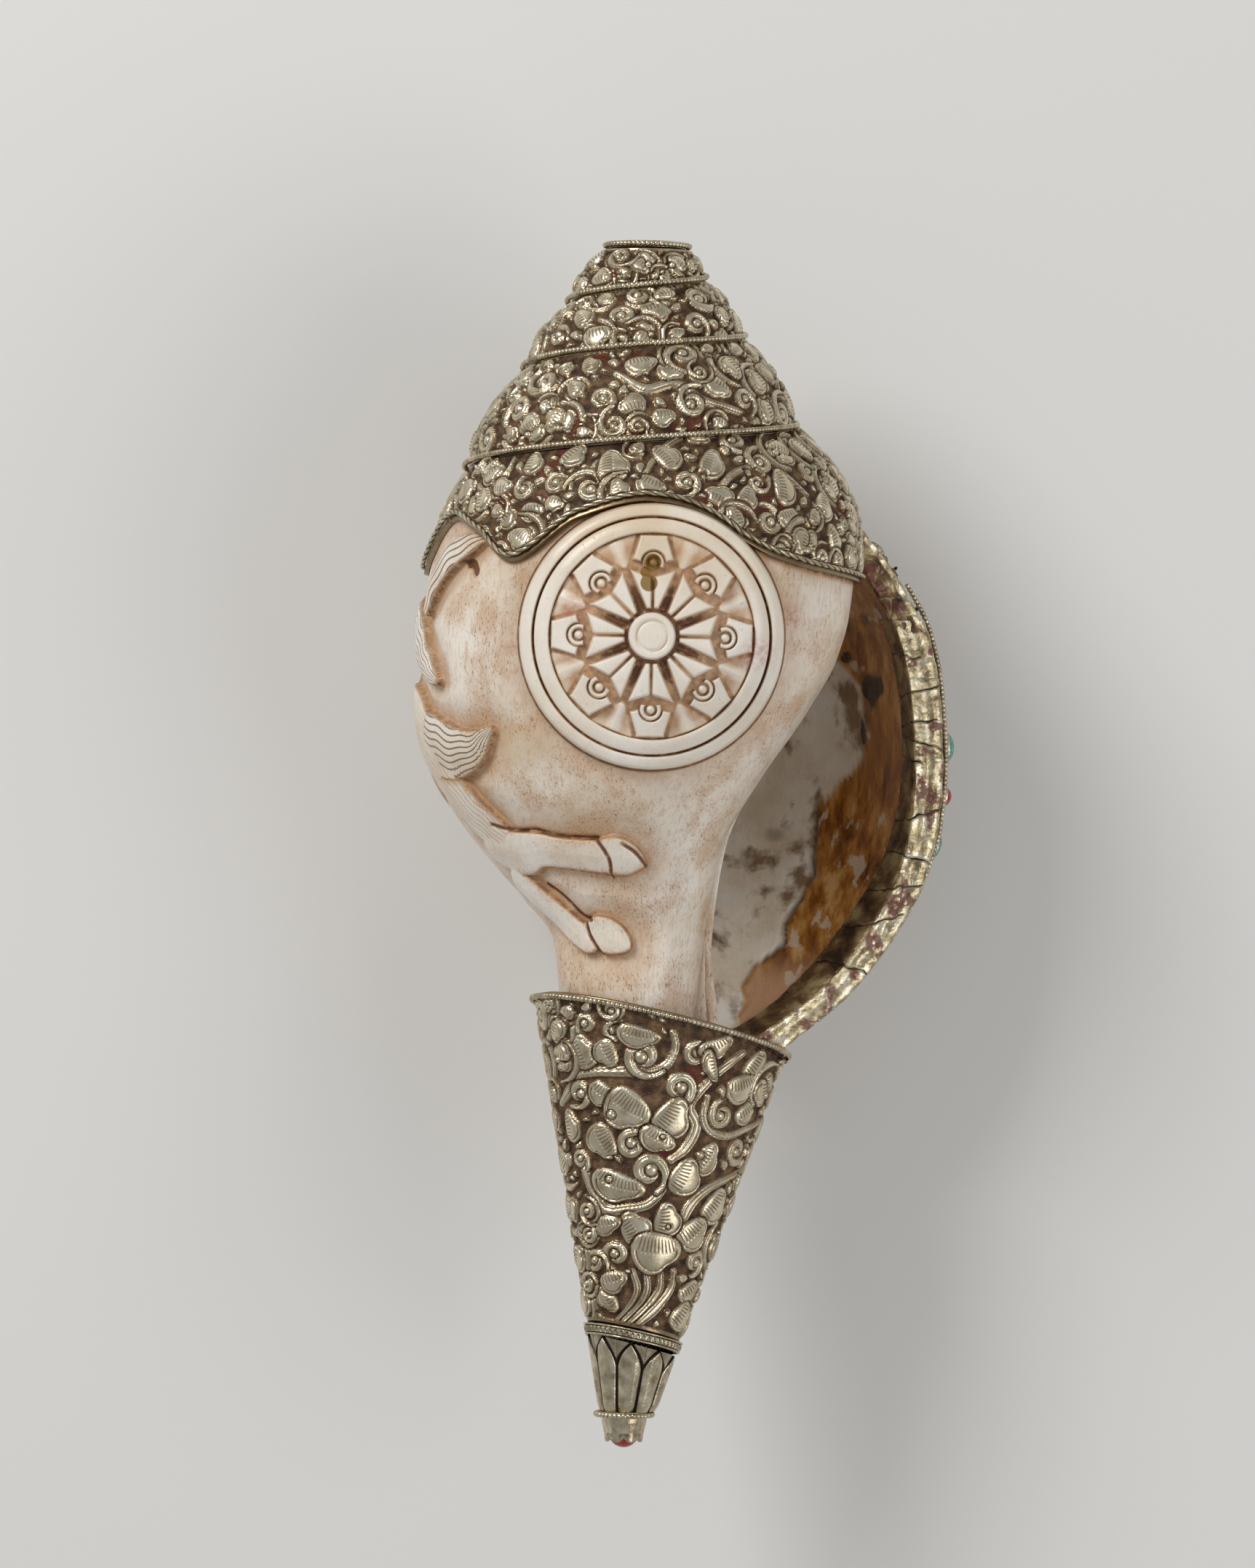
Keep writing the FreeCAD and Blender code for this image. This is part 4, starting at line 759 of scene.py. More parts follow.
# Polished opaque stones have a waxy sheen and a little light in their edges
stone_looks = {"Subsurface Weight": 0.08, "Subsurface Radius": (0.5, 0.4, 0.3), "Subsurface Scale": 0.001}
finishes = {
    "shell": carved_chank(), "mouth": mouth_glaze(), "chased": chased_silver(), "wire": wire_silver(),
    "foil": pressed_foil(),
    # Lac is a dark red resin, cast warm, with a soft shine and a skin of dust
    "lac": solid_finish("dark_red_lac", ((0.3, "#35110c"), (0.55, "#5a1d15"), (0.75, "#7d3a29")), 3, (1.5, 4),
                        0.0003, {"Roughness": 0.42, "Coat Weight": 0.2}),
    # Turquoise is clouded blue-green, polished by wear
    "turquoise": solid_finish("turquoise", ((0.3, "#2e6f6b"), (0.5, "#4f9c94"), (0.72, "#7fbfb0")), 1.8,
                              (0.8, 3), 0.00005, {"Roughness": 0.3, **stone_looks}),
    # Red coral is nearly even in colour, with paler clouds
    "coral": solid_finish("red_coral", ((0.3, "#7d1a12"), (0.55, "#a62c1d"), (0.75, "#c4533d")), 1.6,
                          (0.8, 3), 0.00005, {"Roughness": 0.32, **stone_looks}),
}


# Chank shell


def grain(spots, size, seed=0):
    """Smooth noise from 0 to 1 with lumps of a size in millimetres."""
    table = np.random.default_rng(seed).random((24, 24, 24))
    p = np.asarray(spots, float) / size + 500.3
    i = np.floor(p).astype(int)
    f = smooth(p - i)
    total = 0
    for dx in (0, 1):
        for dy in (0, 1):
            for dz in (0, 1):
                share = np.abs(1 - dx - f[..., 0]) * np.abs(1 - dy - f[..., 1]) * np.abs(1 - dz - f[..., 2])
                corner = tuple(((i + (dx, dy, dz)) % 24)[..., k] for k in range(3))
                total = total + share * table[corner]
    return total


def spread(*stretches):
    """Joined stretches of evenly spaced values, each given as start, end and count."""
    parts = [np.linspace(a, b, n, endpoint=False) for a, b, n in stretches]
    return np.concatenate(parts + [[stretches[-1][1]]])


# The carved wheel, by distance from its centre. The animal's places run round the shell: degrees, height.
rim_rings = ((26.5, 24.1), (23.7, 20.7))
hub_radius, hub_groove = 4.9, 3.05
petal_start, petal_end, petal_notch, petal_half, eye_distance, eye_ring = 5.3, 13.4, 1.5, 4.7, 14.7, 1.75
field_lift, rim_lift, wheel_edge = 0.75, 2.35, 27.0


def ridge(distance, half_width, height, sharp=2.0):
    """A rounded ridge's height across its line."""
    return height * np.maximum(0, 1 - np.abs(distance / half_width) ** sharp) ** 0.5


def wheel_lift(x, z):
    """Height of the carved wheel above the shell at a place on it, and how far its cuts are stained."""
    r, a = np.hypot(x, z), np.arctan2(z, x)
    lift = field_lift - 0.25 * smooth((12 - r) / 8)
    step = math.pi / 4
    turn = (a + step / 2) % step - step / 2
    u, w = r * np.cos(turn), r * np.sin(turn)
    half = mix(1.3, petal_half, clamp((u - petal_start) / 7.8))
    side = np.abs(w)
    end = petal_end - petal_notch * (1 - side / petal_half) - u
    inside = np.minimum(np.minimum(half - side, end * 0.9), u - petal_start)
    lobe = np.sqrt(clamp(1 - (2 * side / np.maximum(half, 0.1) - 1) ** 2))
    petal = smooth(inside / 0.55) * (0.95 + 0.45 * lobe)
    petal *= mix(0.12, 1, smooth((side - 0.12) / 0.5))
    eye = np.hypot(u - eye_distance, w)
    block_half = mix(4.4, 2.9, clamp((u - 14.6) / 5))
    block = np.minimum(np.minimum(block_half - side, u - 14.1 - 0.25 * side), 20.3 - u)
    block = np.minimum(block, eye - 2.35)
    block = smooth(block / 0.35) * (1.5 + 0.12 * smooth((u - 17) / 3))
    arc = ridge(eye - eye_ring, 0.42, 1.25) * (u > eye_distance - 0.9)
    bead_top = ridge(eye, 0.85, 1.35)
    other = (a % step) - step / 2
    u2, w2 = r * np.cos(other), r * np.sin(other)
    wedge_half = mix(0.4, 4.6, clamp((u2 - 14.2) / 5.6))
    wedge = smooth((wedge_half - np.abs(w2)) / 0.6) * smooth((u2 - 14.2) / 0.8) * smooth((20.6 - u2) / 0.5)
    wedge *= 0.08 + 0.36 * clamp(1 - np.abs(w2) / 1.8) + 0.2 * smooth((u2 - 17) / 3)
    slot = smooth((0.75 - np.abs(w2)) / 0.5) * smooth((u2 - 5) / 0.6) * smooth((11.5 - u2) / 4)
    lift = lift - 0.55 * slot + np.maximum.reduce([petal, block, arc, bead_top, wedge])
    hub = smooth((hub_radius - r) / 0.5)
    hub_top = rim_lift - 0.15 - 0.75 * np.exp(-((r - hub_groove) / 0.28) ** 2)
    hub_top -= 0.1 * smooth((hub_groove - r) / 0.6)
    lift = mix(lift, hub_top, hub)
    rim = np.full(r.shape, field_lift - 0.2)
    for outer, inner in rim_rings:
        middle, reach = (outer + inner) / 2, (outer - inner) / 2
        top = rim_lift * (0.8 + 0.2 * np.sqrt(clamp(1 - ((r - middle) / reach) ** 2)))
        rim = np.maximum(rim, mix(field_lift - 0.2, top, smooth((reach - np.abs(r - middle)) / 0.22 + 0.3)))
    lift = mix(lift, rim, smooth((r - rim_rings[1][1] + 0.2) / 0.2))
    beyond = r - rim_rings[0][0]
    lift = np.where(beyond > -0.25, mix(rim_lift * 0.82, -1.0, smooth((beyond + 0.25) / 1.1)), lift)
    return lift, clamp((1.2 - lift) / 0.7)


def blot(x, z, x0, z0, size):
    """A soft-edged stain on the shell."""
    return np.exp(-(((x - x0) ** 2 + (z - z0) ** 2) / size ** 2) ** 2)


def make_wheel(finish):
    """The wheel carved on the front, laid over the shell's curve."""
    r = spread((0, 1, 6), (1, 20.5, 128), (20.5, 28.4, 54))
    a = np.linspace(0, 2 * np.pi, 720, endpoint=False)
    across, up = np.outer(r, np.cos(a)), np.outer(r, np.sin(a))
    lift, stain = wheel_lift(across, up)
    uneven = grain(np.stack([across, up, 0 * up], -1), 3.5, 3) - 0.5
    lift = lift + 0.16 * uneven
    x, z = across + wheel_side, up + wheel_height
    angle = np.full(x.shape, 90.0)
    for _ in range(12):
        radius = shell_radius(angle, z) + lift
        angle = np.degrees(np.arccos(np.clip(x / radius, -1, 1)))
    spots = on_shell(angle, shell_radius(angle, z) + lift, z)
    quads = grid_faces(*x.shape, wrap=True)[:, ::-1]
    ochre = sum(blot(across, up, *row) for row in ((-0.2, 14.7, 1.8), (-0.8, 10.6, 1.7), (-1.7, 12.8, 0.9)))
    pink = 0.6 * (blot(across, up, 21.2, -3, 3.4) + blot(across, up, -15.5, 5, 2.6))
    # Painted shade: the wheel's low places, outside the hub, go into the shade layer.
    low = clamp((1.35 - lift) / 0.7) * (np.hypot(across, up) > 5)
    layers = {"stain": stain, "ochre": clamp(ochre), "pink": clamp(pink), "clean": np.full(stain.shape, 0.85),
              "shade": 0.6 * low}
    place(make_mesh("carved_wheel", spots, quads, layers), finish, "shell")


# The galloping animal, seen from behind its hind legs. Each limb has its points (degrees round the
# shell, millimetres above the wheel's centre, half-width) and how strong its hair lines are.
animal = (
    (((150, -41.5, 3.4), (158, -37, 4.4), (166, -30, 5.2), (174, -24, 6.0)), 0.35),
    (((176, -21, 5.4), (168, -21.8, 5.9), (160, -23.4, 5.9), (151, -24.2, 5.0), (143, -23, 3.6),
      (136, -19.6, 1.1)), 1),
    (((160, -43, 3.6), (150, -44, 4.2), (141, -44.4, 4.4), (133, -43.6, 3.5), (124, -44, 3.1),
      (113, -44.4, 3.2), (106, -44.6, 3.4)), 0),
    (((105, -44.4, 3.5), (100, -44.4, 3.9), (94, -45, 3.1), (84, -46, 0.3)), 0),
    (((160, -50, 3.0), (150, -54.5, 2.6), (142, -57.6, 2.5), (134, -60.2, 2.6), (124, -61.6, 3.0)), 0),
    (((122, -60.8, 3.0), (116, -60.2, 3.5), (107, -61.2, 3.4), (98, -62.4, 1.8), (94, -62.9, 0.3)), 0),
    (((136, 21.5, 0.6), (143, 19, 2.0), (151, 17.2, 2.7), (159, 14, 2.8), (166, 9.4, 2.5),
      (170, 5.5, 1.6)), 1),
    (((182, 2, 4.6), (175, -1.5, 4.6), (168, -5, 3.6), (162, -7.6, 2.6), (158, -9.4, 1.0)), 0.8),
    (((166, -25, 4.8), (180, -20.5, 8.5), (194, -18, 8.5), (206, -16, 5.5)), 0.12),
    (((202, -15, 6), (211, -7, 4.6), (218, -1, 3.6)), 1),
    (((217, -1, 3.6), (225, -1.5, 3.2), (233, -5, 2.2)), 0),
    (((203, -21, 4.6), (213, -28.5, 3.2), (223, -31.5, 2.4), (232, -28.5, 2.2)), 0),
    (((196, -24, 4.6), (205, -35, 3.2), (215, -42, 2.4), (224, -42, 2.2)), 0),
    (((190, 4, 3.6), (203, 6, 4), (217, 7, 3.4), (231, 5, 1.8)), 1),
)
# Cut lines in the same places, with their half-widths: along the legs, round the hooves and the pit
cuts = (
    (((150, -38.4), (141, -39.6), (133, -39.2), (124, -40.4), (107, -40.6)), 0.3),
    (((106.5, -41.2), (103.5, -43.6), (102, -45.6), (102.4, -48.6)), 0.3),
    (((143, -50.4), (136, -52.8), (128, -56.6), (119, -57.6)), 0.35),
    (((123, -57.6), (121, -61), (115, -64.2)), 0.3),
    (((96, -41.8), (90, -43.6), (84, -46.4)), 0.3),
    (((141, 12.6), (144, 14.2), (147, 14.4)), 0.9),
)
animal_relief, ground_dish, let_in, carving_foot = 1.2, 1.35, 0.22, 66.0


def arc_place(angle, height):
    """A place on the last whorl, unrolled: millimetres round it from the front, and height."""
    return np.radians(angle - 90) * whorl_radius(last_turn + angle / 360, height), height


def limb_field(u, v, path):
    """Depth inside a limb drawn along points (x, y, half-width), share of the way along it, and place
    across it from -1 to 1."""
    best, where, across = np.full(u.shape, -1e3), np.zeros(u.shape), np.zeros(u.shape)
    last = len(path) - 1
    for k, ((x0, y0, w0), (x1, y1, w1)) in enumerate(zip(path, path[1:])):
        dx, dy = x1 - x0, y1 - y0
        near = (np.abs(u - x0) < 16) & (np.abs(v - y0) < 16)
        a, b = u[near] - x0, v[near] - y0
        t = clamp((a * dx + b * dy) / (dx * dx + dy * dy))
        wide = mix(w0, w1, t)
        depth = wide - np.hypot(a - t * dx, b - t * dy)
        more = depth > best[near]
        best[near] = np.where(more, depth, best[near])
        where[near] = np.where(more, (k + t) / last, where[near])
        side = (b * dx - a * dy) / math.hypot(dx, dy) / np.maximum(wide, 0.4)
        across[near] = np.where(more, side, across[near])
    return best, where, across


def carve(angle, height):
    """The animal's relief, stain and hair strokes on the shell."""
    u, v = arc_place(angle, height)
    shape = u.shape
    lift, stain, hair, phase = (np.zeros(shape) for _ in range(4))
    nearest = np.full(shape, -1e3)
    for points, hairy in animal:
        flat = [(*arc_place(np.float64(a), wheel_height + z), w) for a, z, w in points]
        path = curve_through(flat, 6)
        wide = path[:, 2].max()
        d, where, across = limb_field(u, v, path)
        body = animal_relief * smooth((d + 0.25) / 0.6) * (0.4 + 0.6 * np.sqrt(clamp(d / (0.9 * wide))))
        lift = np.maximum(lift, body)
        edge = 0.6 * np.exp(-((d + 0.05) / 0.22) ** 2) + 0.3 * np.exp(-((d + 0.6) / 0.9) ** 2)
        edge *= 1 if hairy == 1 else smooth((0.5 - nearest) / 0.5)
        stain = np.where(d > 0.5, 0.04 * (d < 1.2), np.maximum(stain, edge))
        over = (d > 0.15) & (d > nearest)
        hair = np.where(over, hairy * smooth(d / 0.5), hair)
        phase = np.where(over, across * wide * 0.85 + 0.3 * np.sin(where * 22), phase)
        nearest = np.maximum(nearest, d)
    dish = ground_dish * np.exp(-(np.minimum(nearest, 0) / 4.2) ** 2) * smooth(-nearest / 0.3)
    lift = lift - dish
    # Painted shade on the ground round the limbs, fading over about 5 mm.
    shade = 0.6 * np.exp(-(np.minimum(nearest, 0) / 5.5) ** 2) * smooth((0.8 - nearest) / 1.2)
    for points, half in cuts:
        flat = [(*arc_place(np.float64(a), wheel_height + z), half) for a, z in points]
        d = limb_field(u, v, curve_through(flat, 6))[0]
        groove = smooth((d + 0.3) / 0.5)
        lift = lift - 0.5 * groove
        stain = np.maximum(stain, 1.1 * groove)
    return lift, stain, hair, phase, shade, smooth(nearest / 1.5)


def chamber(turns_in, share, side):
    """Height and radius of the passage's wall: turns in from the lip, share of its height, and side from
    inner -1 to outer 1."""
    foot = mix(chamber_foot, inner_height - inner_tall / 2, 1 - (1 - turns_in) ** 2.2)
    top = mix(chamber_top, inner_height + inner_tall / 2, turns_in)
    square = mix(4, 2, smooth(turns_in))
    height = mix(foot, top, share)
    inner = mix(whorl_radius(lip_turn - 1, height) + 2 * seam_gap, inner_radius - inner_wide / 2, turns_in)
    outer = whorl_radius(lip_turn - turns_in, height) - shell_wall
    outer = np.maximum(mix(outer, inner_radius + inner_wide / 2, turns_in ** 2), inner + shell_wall)
    bulge = np.maximum(0, 1 - np.abs(2 * share - 1) ** square) ** (1 / square)
    return height, (inner + outer) / 2 + side * (outer - inner) / 2 * bulge


# Where the mouth's amber stain starts, seen from the front
amber_heights = (82, 91, 95, 99, 104, 118, 133, 140, 150, 158, 165, 172)
amber_starts = (20, 22.9, 23.3, 26.1, 30.7, 37, 38.9, 46, 48.5, 47.5, 40, 24)
# Its dark spots: x, height, half-width, half-height and how dark
dark_spots = ((49.4, 157.8, 2.1, 4.2, 1), (47.6, 148.6, 1.0, 3.2, 1), (40.2, 165, 1.2, 1.0, 1),
              (44, 164.6, 1.4, 0.9, 1), (24, 121, 2.2, 4.0, 0.42), (30, 127, 3.4, 2.0, 0.42),
              (18, 104.6, 2.6, 2.0, 0.42))
tongue_top, tongue_foot = 107.2, 87.0


def make_shell(finish, inside_finish):
    """The last whorl with its carving, the spire, the mouth and the face of the lip."""
    angle = spread((lip_start, 78, 120), (78, 240, 400), (240, lip_angle, 90))
    turn = last_turn + angle / 360
    share = spread((0, 0.08, 10), (0.08, 0.78, 310), (0.78, 1, 24))[:, None]
    height = mix(suture_height(turn)[None] - 0.6, carving_foot, share)
    angles = np.broadcast_to(angle, height.shape)
    lift, stain, hair, phase, shade, clean = carve(angles, height)
    from_hem = hem_height(turn)[None] - height
    below_hem = smooth(from_hem / 2)
    lift = lift * below_hem
    radius = whorl_radius(np.broadcast_to(turn, height.shape), height)
    over_wheel = np.hypot(radius * np.cos(np.radians(angles)) - wheel_side, height - wheel_height)
    over_wheel = np.where((angles > 0) & (angles < 180), over_wheel, 99)
    round_wheel = np.exp(-((over_wheel - wheel_edge - 1) / 1.7) ** 2)
    lift = lift * smooth((over_wheel - wheel_edge) / 1.5) - 0.5 * round_wheel
    stain = np.maximum(stain * below_hem, 0.75 * np.exp(-((over_wheel - wheel_edge) / 0.4) ** 2))
    # Painted shade in a halo round the wheel and in a band under the silver hem.
    shade = np.maximum(shade, 0.62 * np.exp(-(np.maximum(0, over_wheel - wheel_edge) / 4.5) ** 1.5))
    shade = np.maximum(shade, 0.45 * np.exp(-(from_hem / 4) ** 2))
    stain = np.maximum(stain, np.exp(-(from_hem / 0.9) ** 2) * 0.8)
    spots = on_shell(angles, radius + lift, height)
    uneven = grain(spots, 14, 5) + 0.5 * grain(spots, 6, 6) - 0.75
    worked = smooth((spots[..., 2] - 75) / 20)
    spots = spots + on_shell(angles, 1, 0 * height) * ((0.35 * uneven - let_in) * worked)[..., None]
    spots[:, [0, -1]] = on_shell(angles, radius, height)[:, [0, -1]]
    quads = grid_faces(*height.shape)
    front = np.where((angles > 0) & (angles < 180), 1.0, 0)
    x, z = spots[..., 0], spots[..., 2]
    pink = 0.7 * front * (blot(x, z, 30.2, 171, 2.8) + blot(x, z, 14, 92, 3.5))
    layers = {"stain": stain, "hair": hair, "phase": phase, "pink": clamp(pink), "shade": shade,
              "clean": 0.6 * clean}
    place(make_mesh("shell_outside", spots, quads, layers), finish, "shell", "conch_shell")

    # Spire under its silver
    angle = np.linspace(lip_start, lip_angle, 90)
    share = np.linspace(0, 1, 70)[:, None]
    height = mix(whole_length - crown_cut, (suture_height(last_turn + angle / 360) - 0.4)[None], share)
    spots = on_shell(angle, shell_radius(angle, height) - 0.1, height)
    place(make_mesh("shell_spire", spots, grid_faces(*height.shape)), finish, "shell")

    # Mouth and the passage behind it: amber by the lip and at the top, pale deeper in
    turns_in = spread((0, 0.3, 110), (0.3, 0.9, 60))[:, None]
    w = np.linspace(0, np.pi, 150)
    shares = np.concatenate([(1 - np.cos(w)) / 2, (1 + np.cos(w[1:-1])) / 2])
    sides = np.repeat((1.0, -1.0), (len(w), len(w) - 2))
    shape = np.broadcast_shapes(turns_in.shape, shares.shape)
    turns_in, shares, sides = (np.broadcast_to(v, shape) for v in (turns_in, shares, sides))
    height, radius = chamber(turns_in, shares, sides)
    spots = on_shell(lip_angle - 360 * turns_in, radius, height)
    wave = 0.9 * (grain(spots, 9, 8) - 0.5) * smooth(turns_in / 0.02)
    x, z = spots[..., 0], height
    past = x - np.interp(z, amber_heights, amber_starts) - 2.4 * (grain(spots, 5, 9) - 0.5)
    # The crease is a fold along the amber's edge, raised on the outer wall and painted dark along it as its
    # shade.
    crease = np.exp(-(past / 0.45) ** 2) * smooth((z - 95) / 6) * smooth((136 - z) / 6)
    spots = on_shell(lip_angle - 360 * turns_in, radius + wave + 0.9 * crease * (sides > 0), height)
    ragged = 2.2 * (grain(spots, 2.6, 10) - 0.5)
    dark = clamp(sum(depth * np.exp(-(((x - x0 + ragged) / wide) ** 2 + ((z - z0 + ragged) / tall) ** 2) ** 2)
                     for x0, z0, wide, tall, depth in dark_spots))
    layers = {"amber": smooth(past / 1.5 + 0.5), "dark": dark, "crease": crease,
              "low": smooth((104 - z) / 10) * smooth(past / 2)}
    mouth = make_mesh("mouth_inside", spots, grid_faces(*shape, wrap=True), layers)
    place(mouth, inside_finish, "shell")

    # The pillar's edge, which shows as a pale tongue beside a dark slot at the mouth's foot
    level = np.linspace(tongue_top, tongue_foot, 60)[:, None]
    down = (tongue_top - level) / (tongue_top - tongue_foot)
    turn = np.linspace(0, 2 * np.pi, 16, endpoint=False)[None]
    wide, thick = 0.15 + 1.0 * smooth(down * 1.2), 0.15 + 0.45 * down
    x = 14.9 + 2.0 * down ** 1.3 + wide * np.cos(turn)
    y = 2.0 + 2.0 * down + thick * np.sin(turn)
    spots = np.stack(np.broadcast_arrays(x, -y + 4, level), -1)
    quads = grid_faces(*x.shape, wrap=True)
    place(make_mesh("pillar_edge", spots, quads, {"stain": np.full(x.shape, 0.12)}), finish, "shell")

    # Face of the lip, on both sides of the mouth
    shares = (1 - np.cos(np.linspace(0, np.pi, 160))) / 2
    height, outer_edge = chamber(0.0, shares, 1.0)
    inner_edge = chamber(0.0, shares, -1.0)[1]
    joint = (outer_edge[0], outer_edge[-1])
    low = np.linspace(carving_foot, chamber_foot, 20, endpoint=False)
    high = np.linspace(chamber_top, lip_top - 0.6, 12)[1:]
    height = np.concatenate([low, height, high])[::-1]
    inner_edge, outer_edge = (
        np.concatenate([np.full(len(low), joint[0]), edge, np.full(len(high), joint[1])])[::-1]
        for edge in (inner_edge, outer_edge))
    start = whorl_radius(lip_turn - 1, height)
    finish_edge = whorl_radius(lip_turn, height)
    inner_edge, outer_edge = np.maximum(inner_edge, start), np.minimum(outer_edge, finish_edge)
    for name, near, far in (("lip_face_inner", start, inner_edge),
                            ("lip_face_outer", outer_edge, finish_edge)):
        radii = mix(near[:, None], far[:, None], np.linspace(0, 1, 7))
        spots = on_shell(lip_angle, radii, np.broadcast_to(height[:, None], radii.shape))
        quads = grid_faces(*radii.shape)[:, ::-1]
        place(make_mesh(name, spots, quads), finish, "shell")


# Wires and turned pieces


def even_path(points, step, closed=False):
    """Points along a path at an even step, how far along they are, and its length."""
    p = np.asarray(points, float)
    if closed:
        p = np.concatenate([p, p[:1]])
    run = np.concatenate([[0], np.linalg.norm(np.diff(p, axis=0), axis=1).cumsum()])
    count = max(3, int(round(run[-1] / step)))
    s = np.linspace(0, run[-1], count + 1)
    if closed:
        s = s[:-1]
    return np.stack([np.interp(s, run, p[:, k]) for k in range(3)], 1), s, run[-1]


def wire(name, points, radius, finish, node, closed=False, pitch=0.0, lead=0.0, columns=10):
    """A wire along a path: beaded when it has a pitch, twisted of two strands when it has a lead."""
    step = (pitch or lead or radius * 2) / 8
    path, s, length = even_path(points, step, closed)
    if closed:
        ahead = np.roll(path, -1, 0) - np.roll(path, 1, 0)
    else:
        ahead = np.gradient(path, axis=0)
    ahead /= np.linalg.norm(ahead, axis=1, keepdims=True)
    outward = path * (1, 1, 0)
    outward -= ahead * (outward * ahead).sum(1, keepdims=True)
    outward /= np.linalg.norm(outward, axis=1, keepdims=True)
    across = np.cross(ahead, outward)
    turn = np.linspace(0, 2 * np.pi, columns, endpoint=False)
    profile = np.ones((len(path), columns))
    if pitch:
        beads = max(1, round(length / pitch))
        share = (s * beads / length) % 1
        profile *= (0.5 + 0.5 * np.sqrt(clamp(1 - (2 * share - 1) ** 2)))[:, None]
    if lead:
        profile = 0.55 + 0.45 * np.abs(np.cos(turn[None] - np.pi * s[:, None] / lead))
    if not closed:
        profile[[0, -1]] = 0.02
    around = outward[:, None] * np.cos(turn)[None, :, None] + across[:, None] * np.sin(turn)[None, :, None]
    spots = path[:, None] + around * (radius * profile)[..., None]
    if closed:
        spots = np.concatenate([spots, spots[:1]])
        profile = np.concatenate([profile, profile[:1]])
    made = make_mesh(name, spots, grid_faces(*spots.shape[:2], wrap=True), {"groove": 1 - profile})
    place(made, finish, "silver", *([node] if node else []))


def rounded(profile, ease):
    """A profile with its corners eased."""
    p = np.asarray(profile, float)
    out = [p[0]]
    for a, b, c in zip(p, p[1:], p[2:]):
        near, far = np.linalg.norm(b - a), np.linalg.norm(c - b)
        r = min(ease, near * 0.45, far * 0.45)
        s, e = b + (a - b) * r / near, b + (c - b) * r / far
        for t in np.linspace(0, 1, 5):
            out.append(s * (1 - t) ** 2 + 2 * b * t * (1 - t) + e * t * t)
    return np.array(out + [p[-1]])


def turned(name, profile, finish, columns=96, shape=None):
    """A silver piece turned round the axis from a profile of (radius, height), outside downward."""
    p = rounded(profile, 0.25)
    angle = np.linspace(0, 360, columns, endpoint=False)
    radius = np.broadcast_to(p[:, :1], (len(p), columns))
    height = np.broadcast_to(p[:, 1:], (len(p), columns))
    if shape is not None:
        radius, height = shape(angle[None], radius, height)
    spots = on_shell(np.broadcast_to(angle, radius.shape), radius, height)
    place(make_mesh(name, spots, grid_faces(*radius.shape, wrap=True)), finish, "silver", name)


# Silver of the spire


def sheet_grid(start, end, top, foot, pitch):
    """A grid on the silver's outside between two turns and two edges."""
    middle = (start + end) / 2
    columns = int(2 * math.pi * suture_radius(middle) * 1.08 * (end - start) / pitch)
    turn = np.linspace(start, end, columns)
    tall = np.max(top(turn) - foot(turn))
    share = np.linspace(0, 1, max(12, int(tall / pitch)))[:, None]
    height = mix(top(turn)[None], foot(turn)[None], share)
    turns = np.broadcast_to(turn, height.shape)
    return on_shell(360 * turns, silver_radius(turns, height), height)


def band_top(turn):
    """Upper edge of a band, just under its suture."""
    return np.minimum(whole_length - 1.5, suture_height(turn) - 0.05)


def band_foot(turn):
    return suture_height(turn + 1) + 0.05


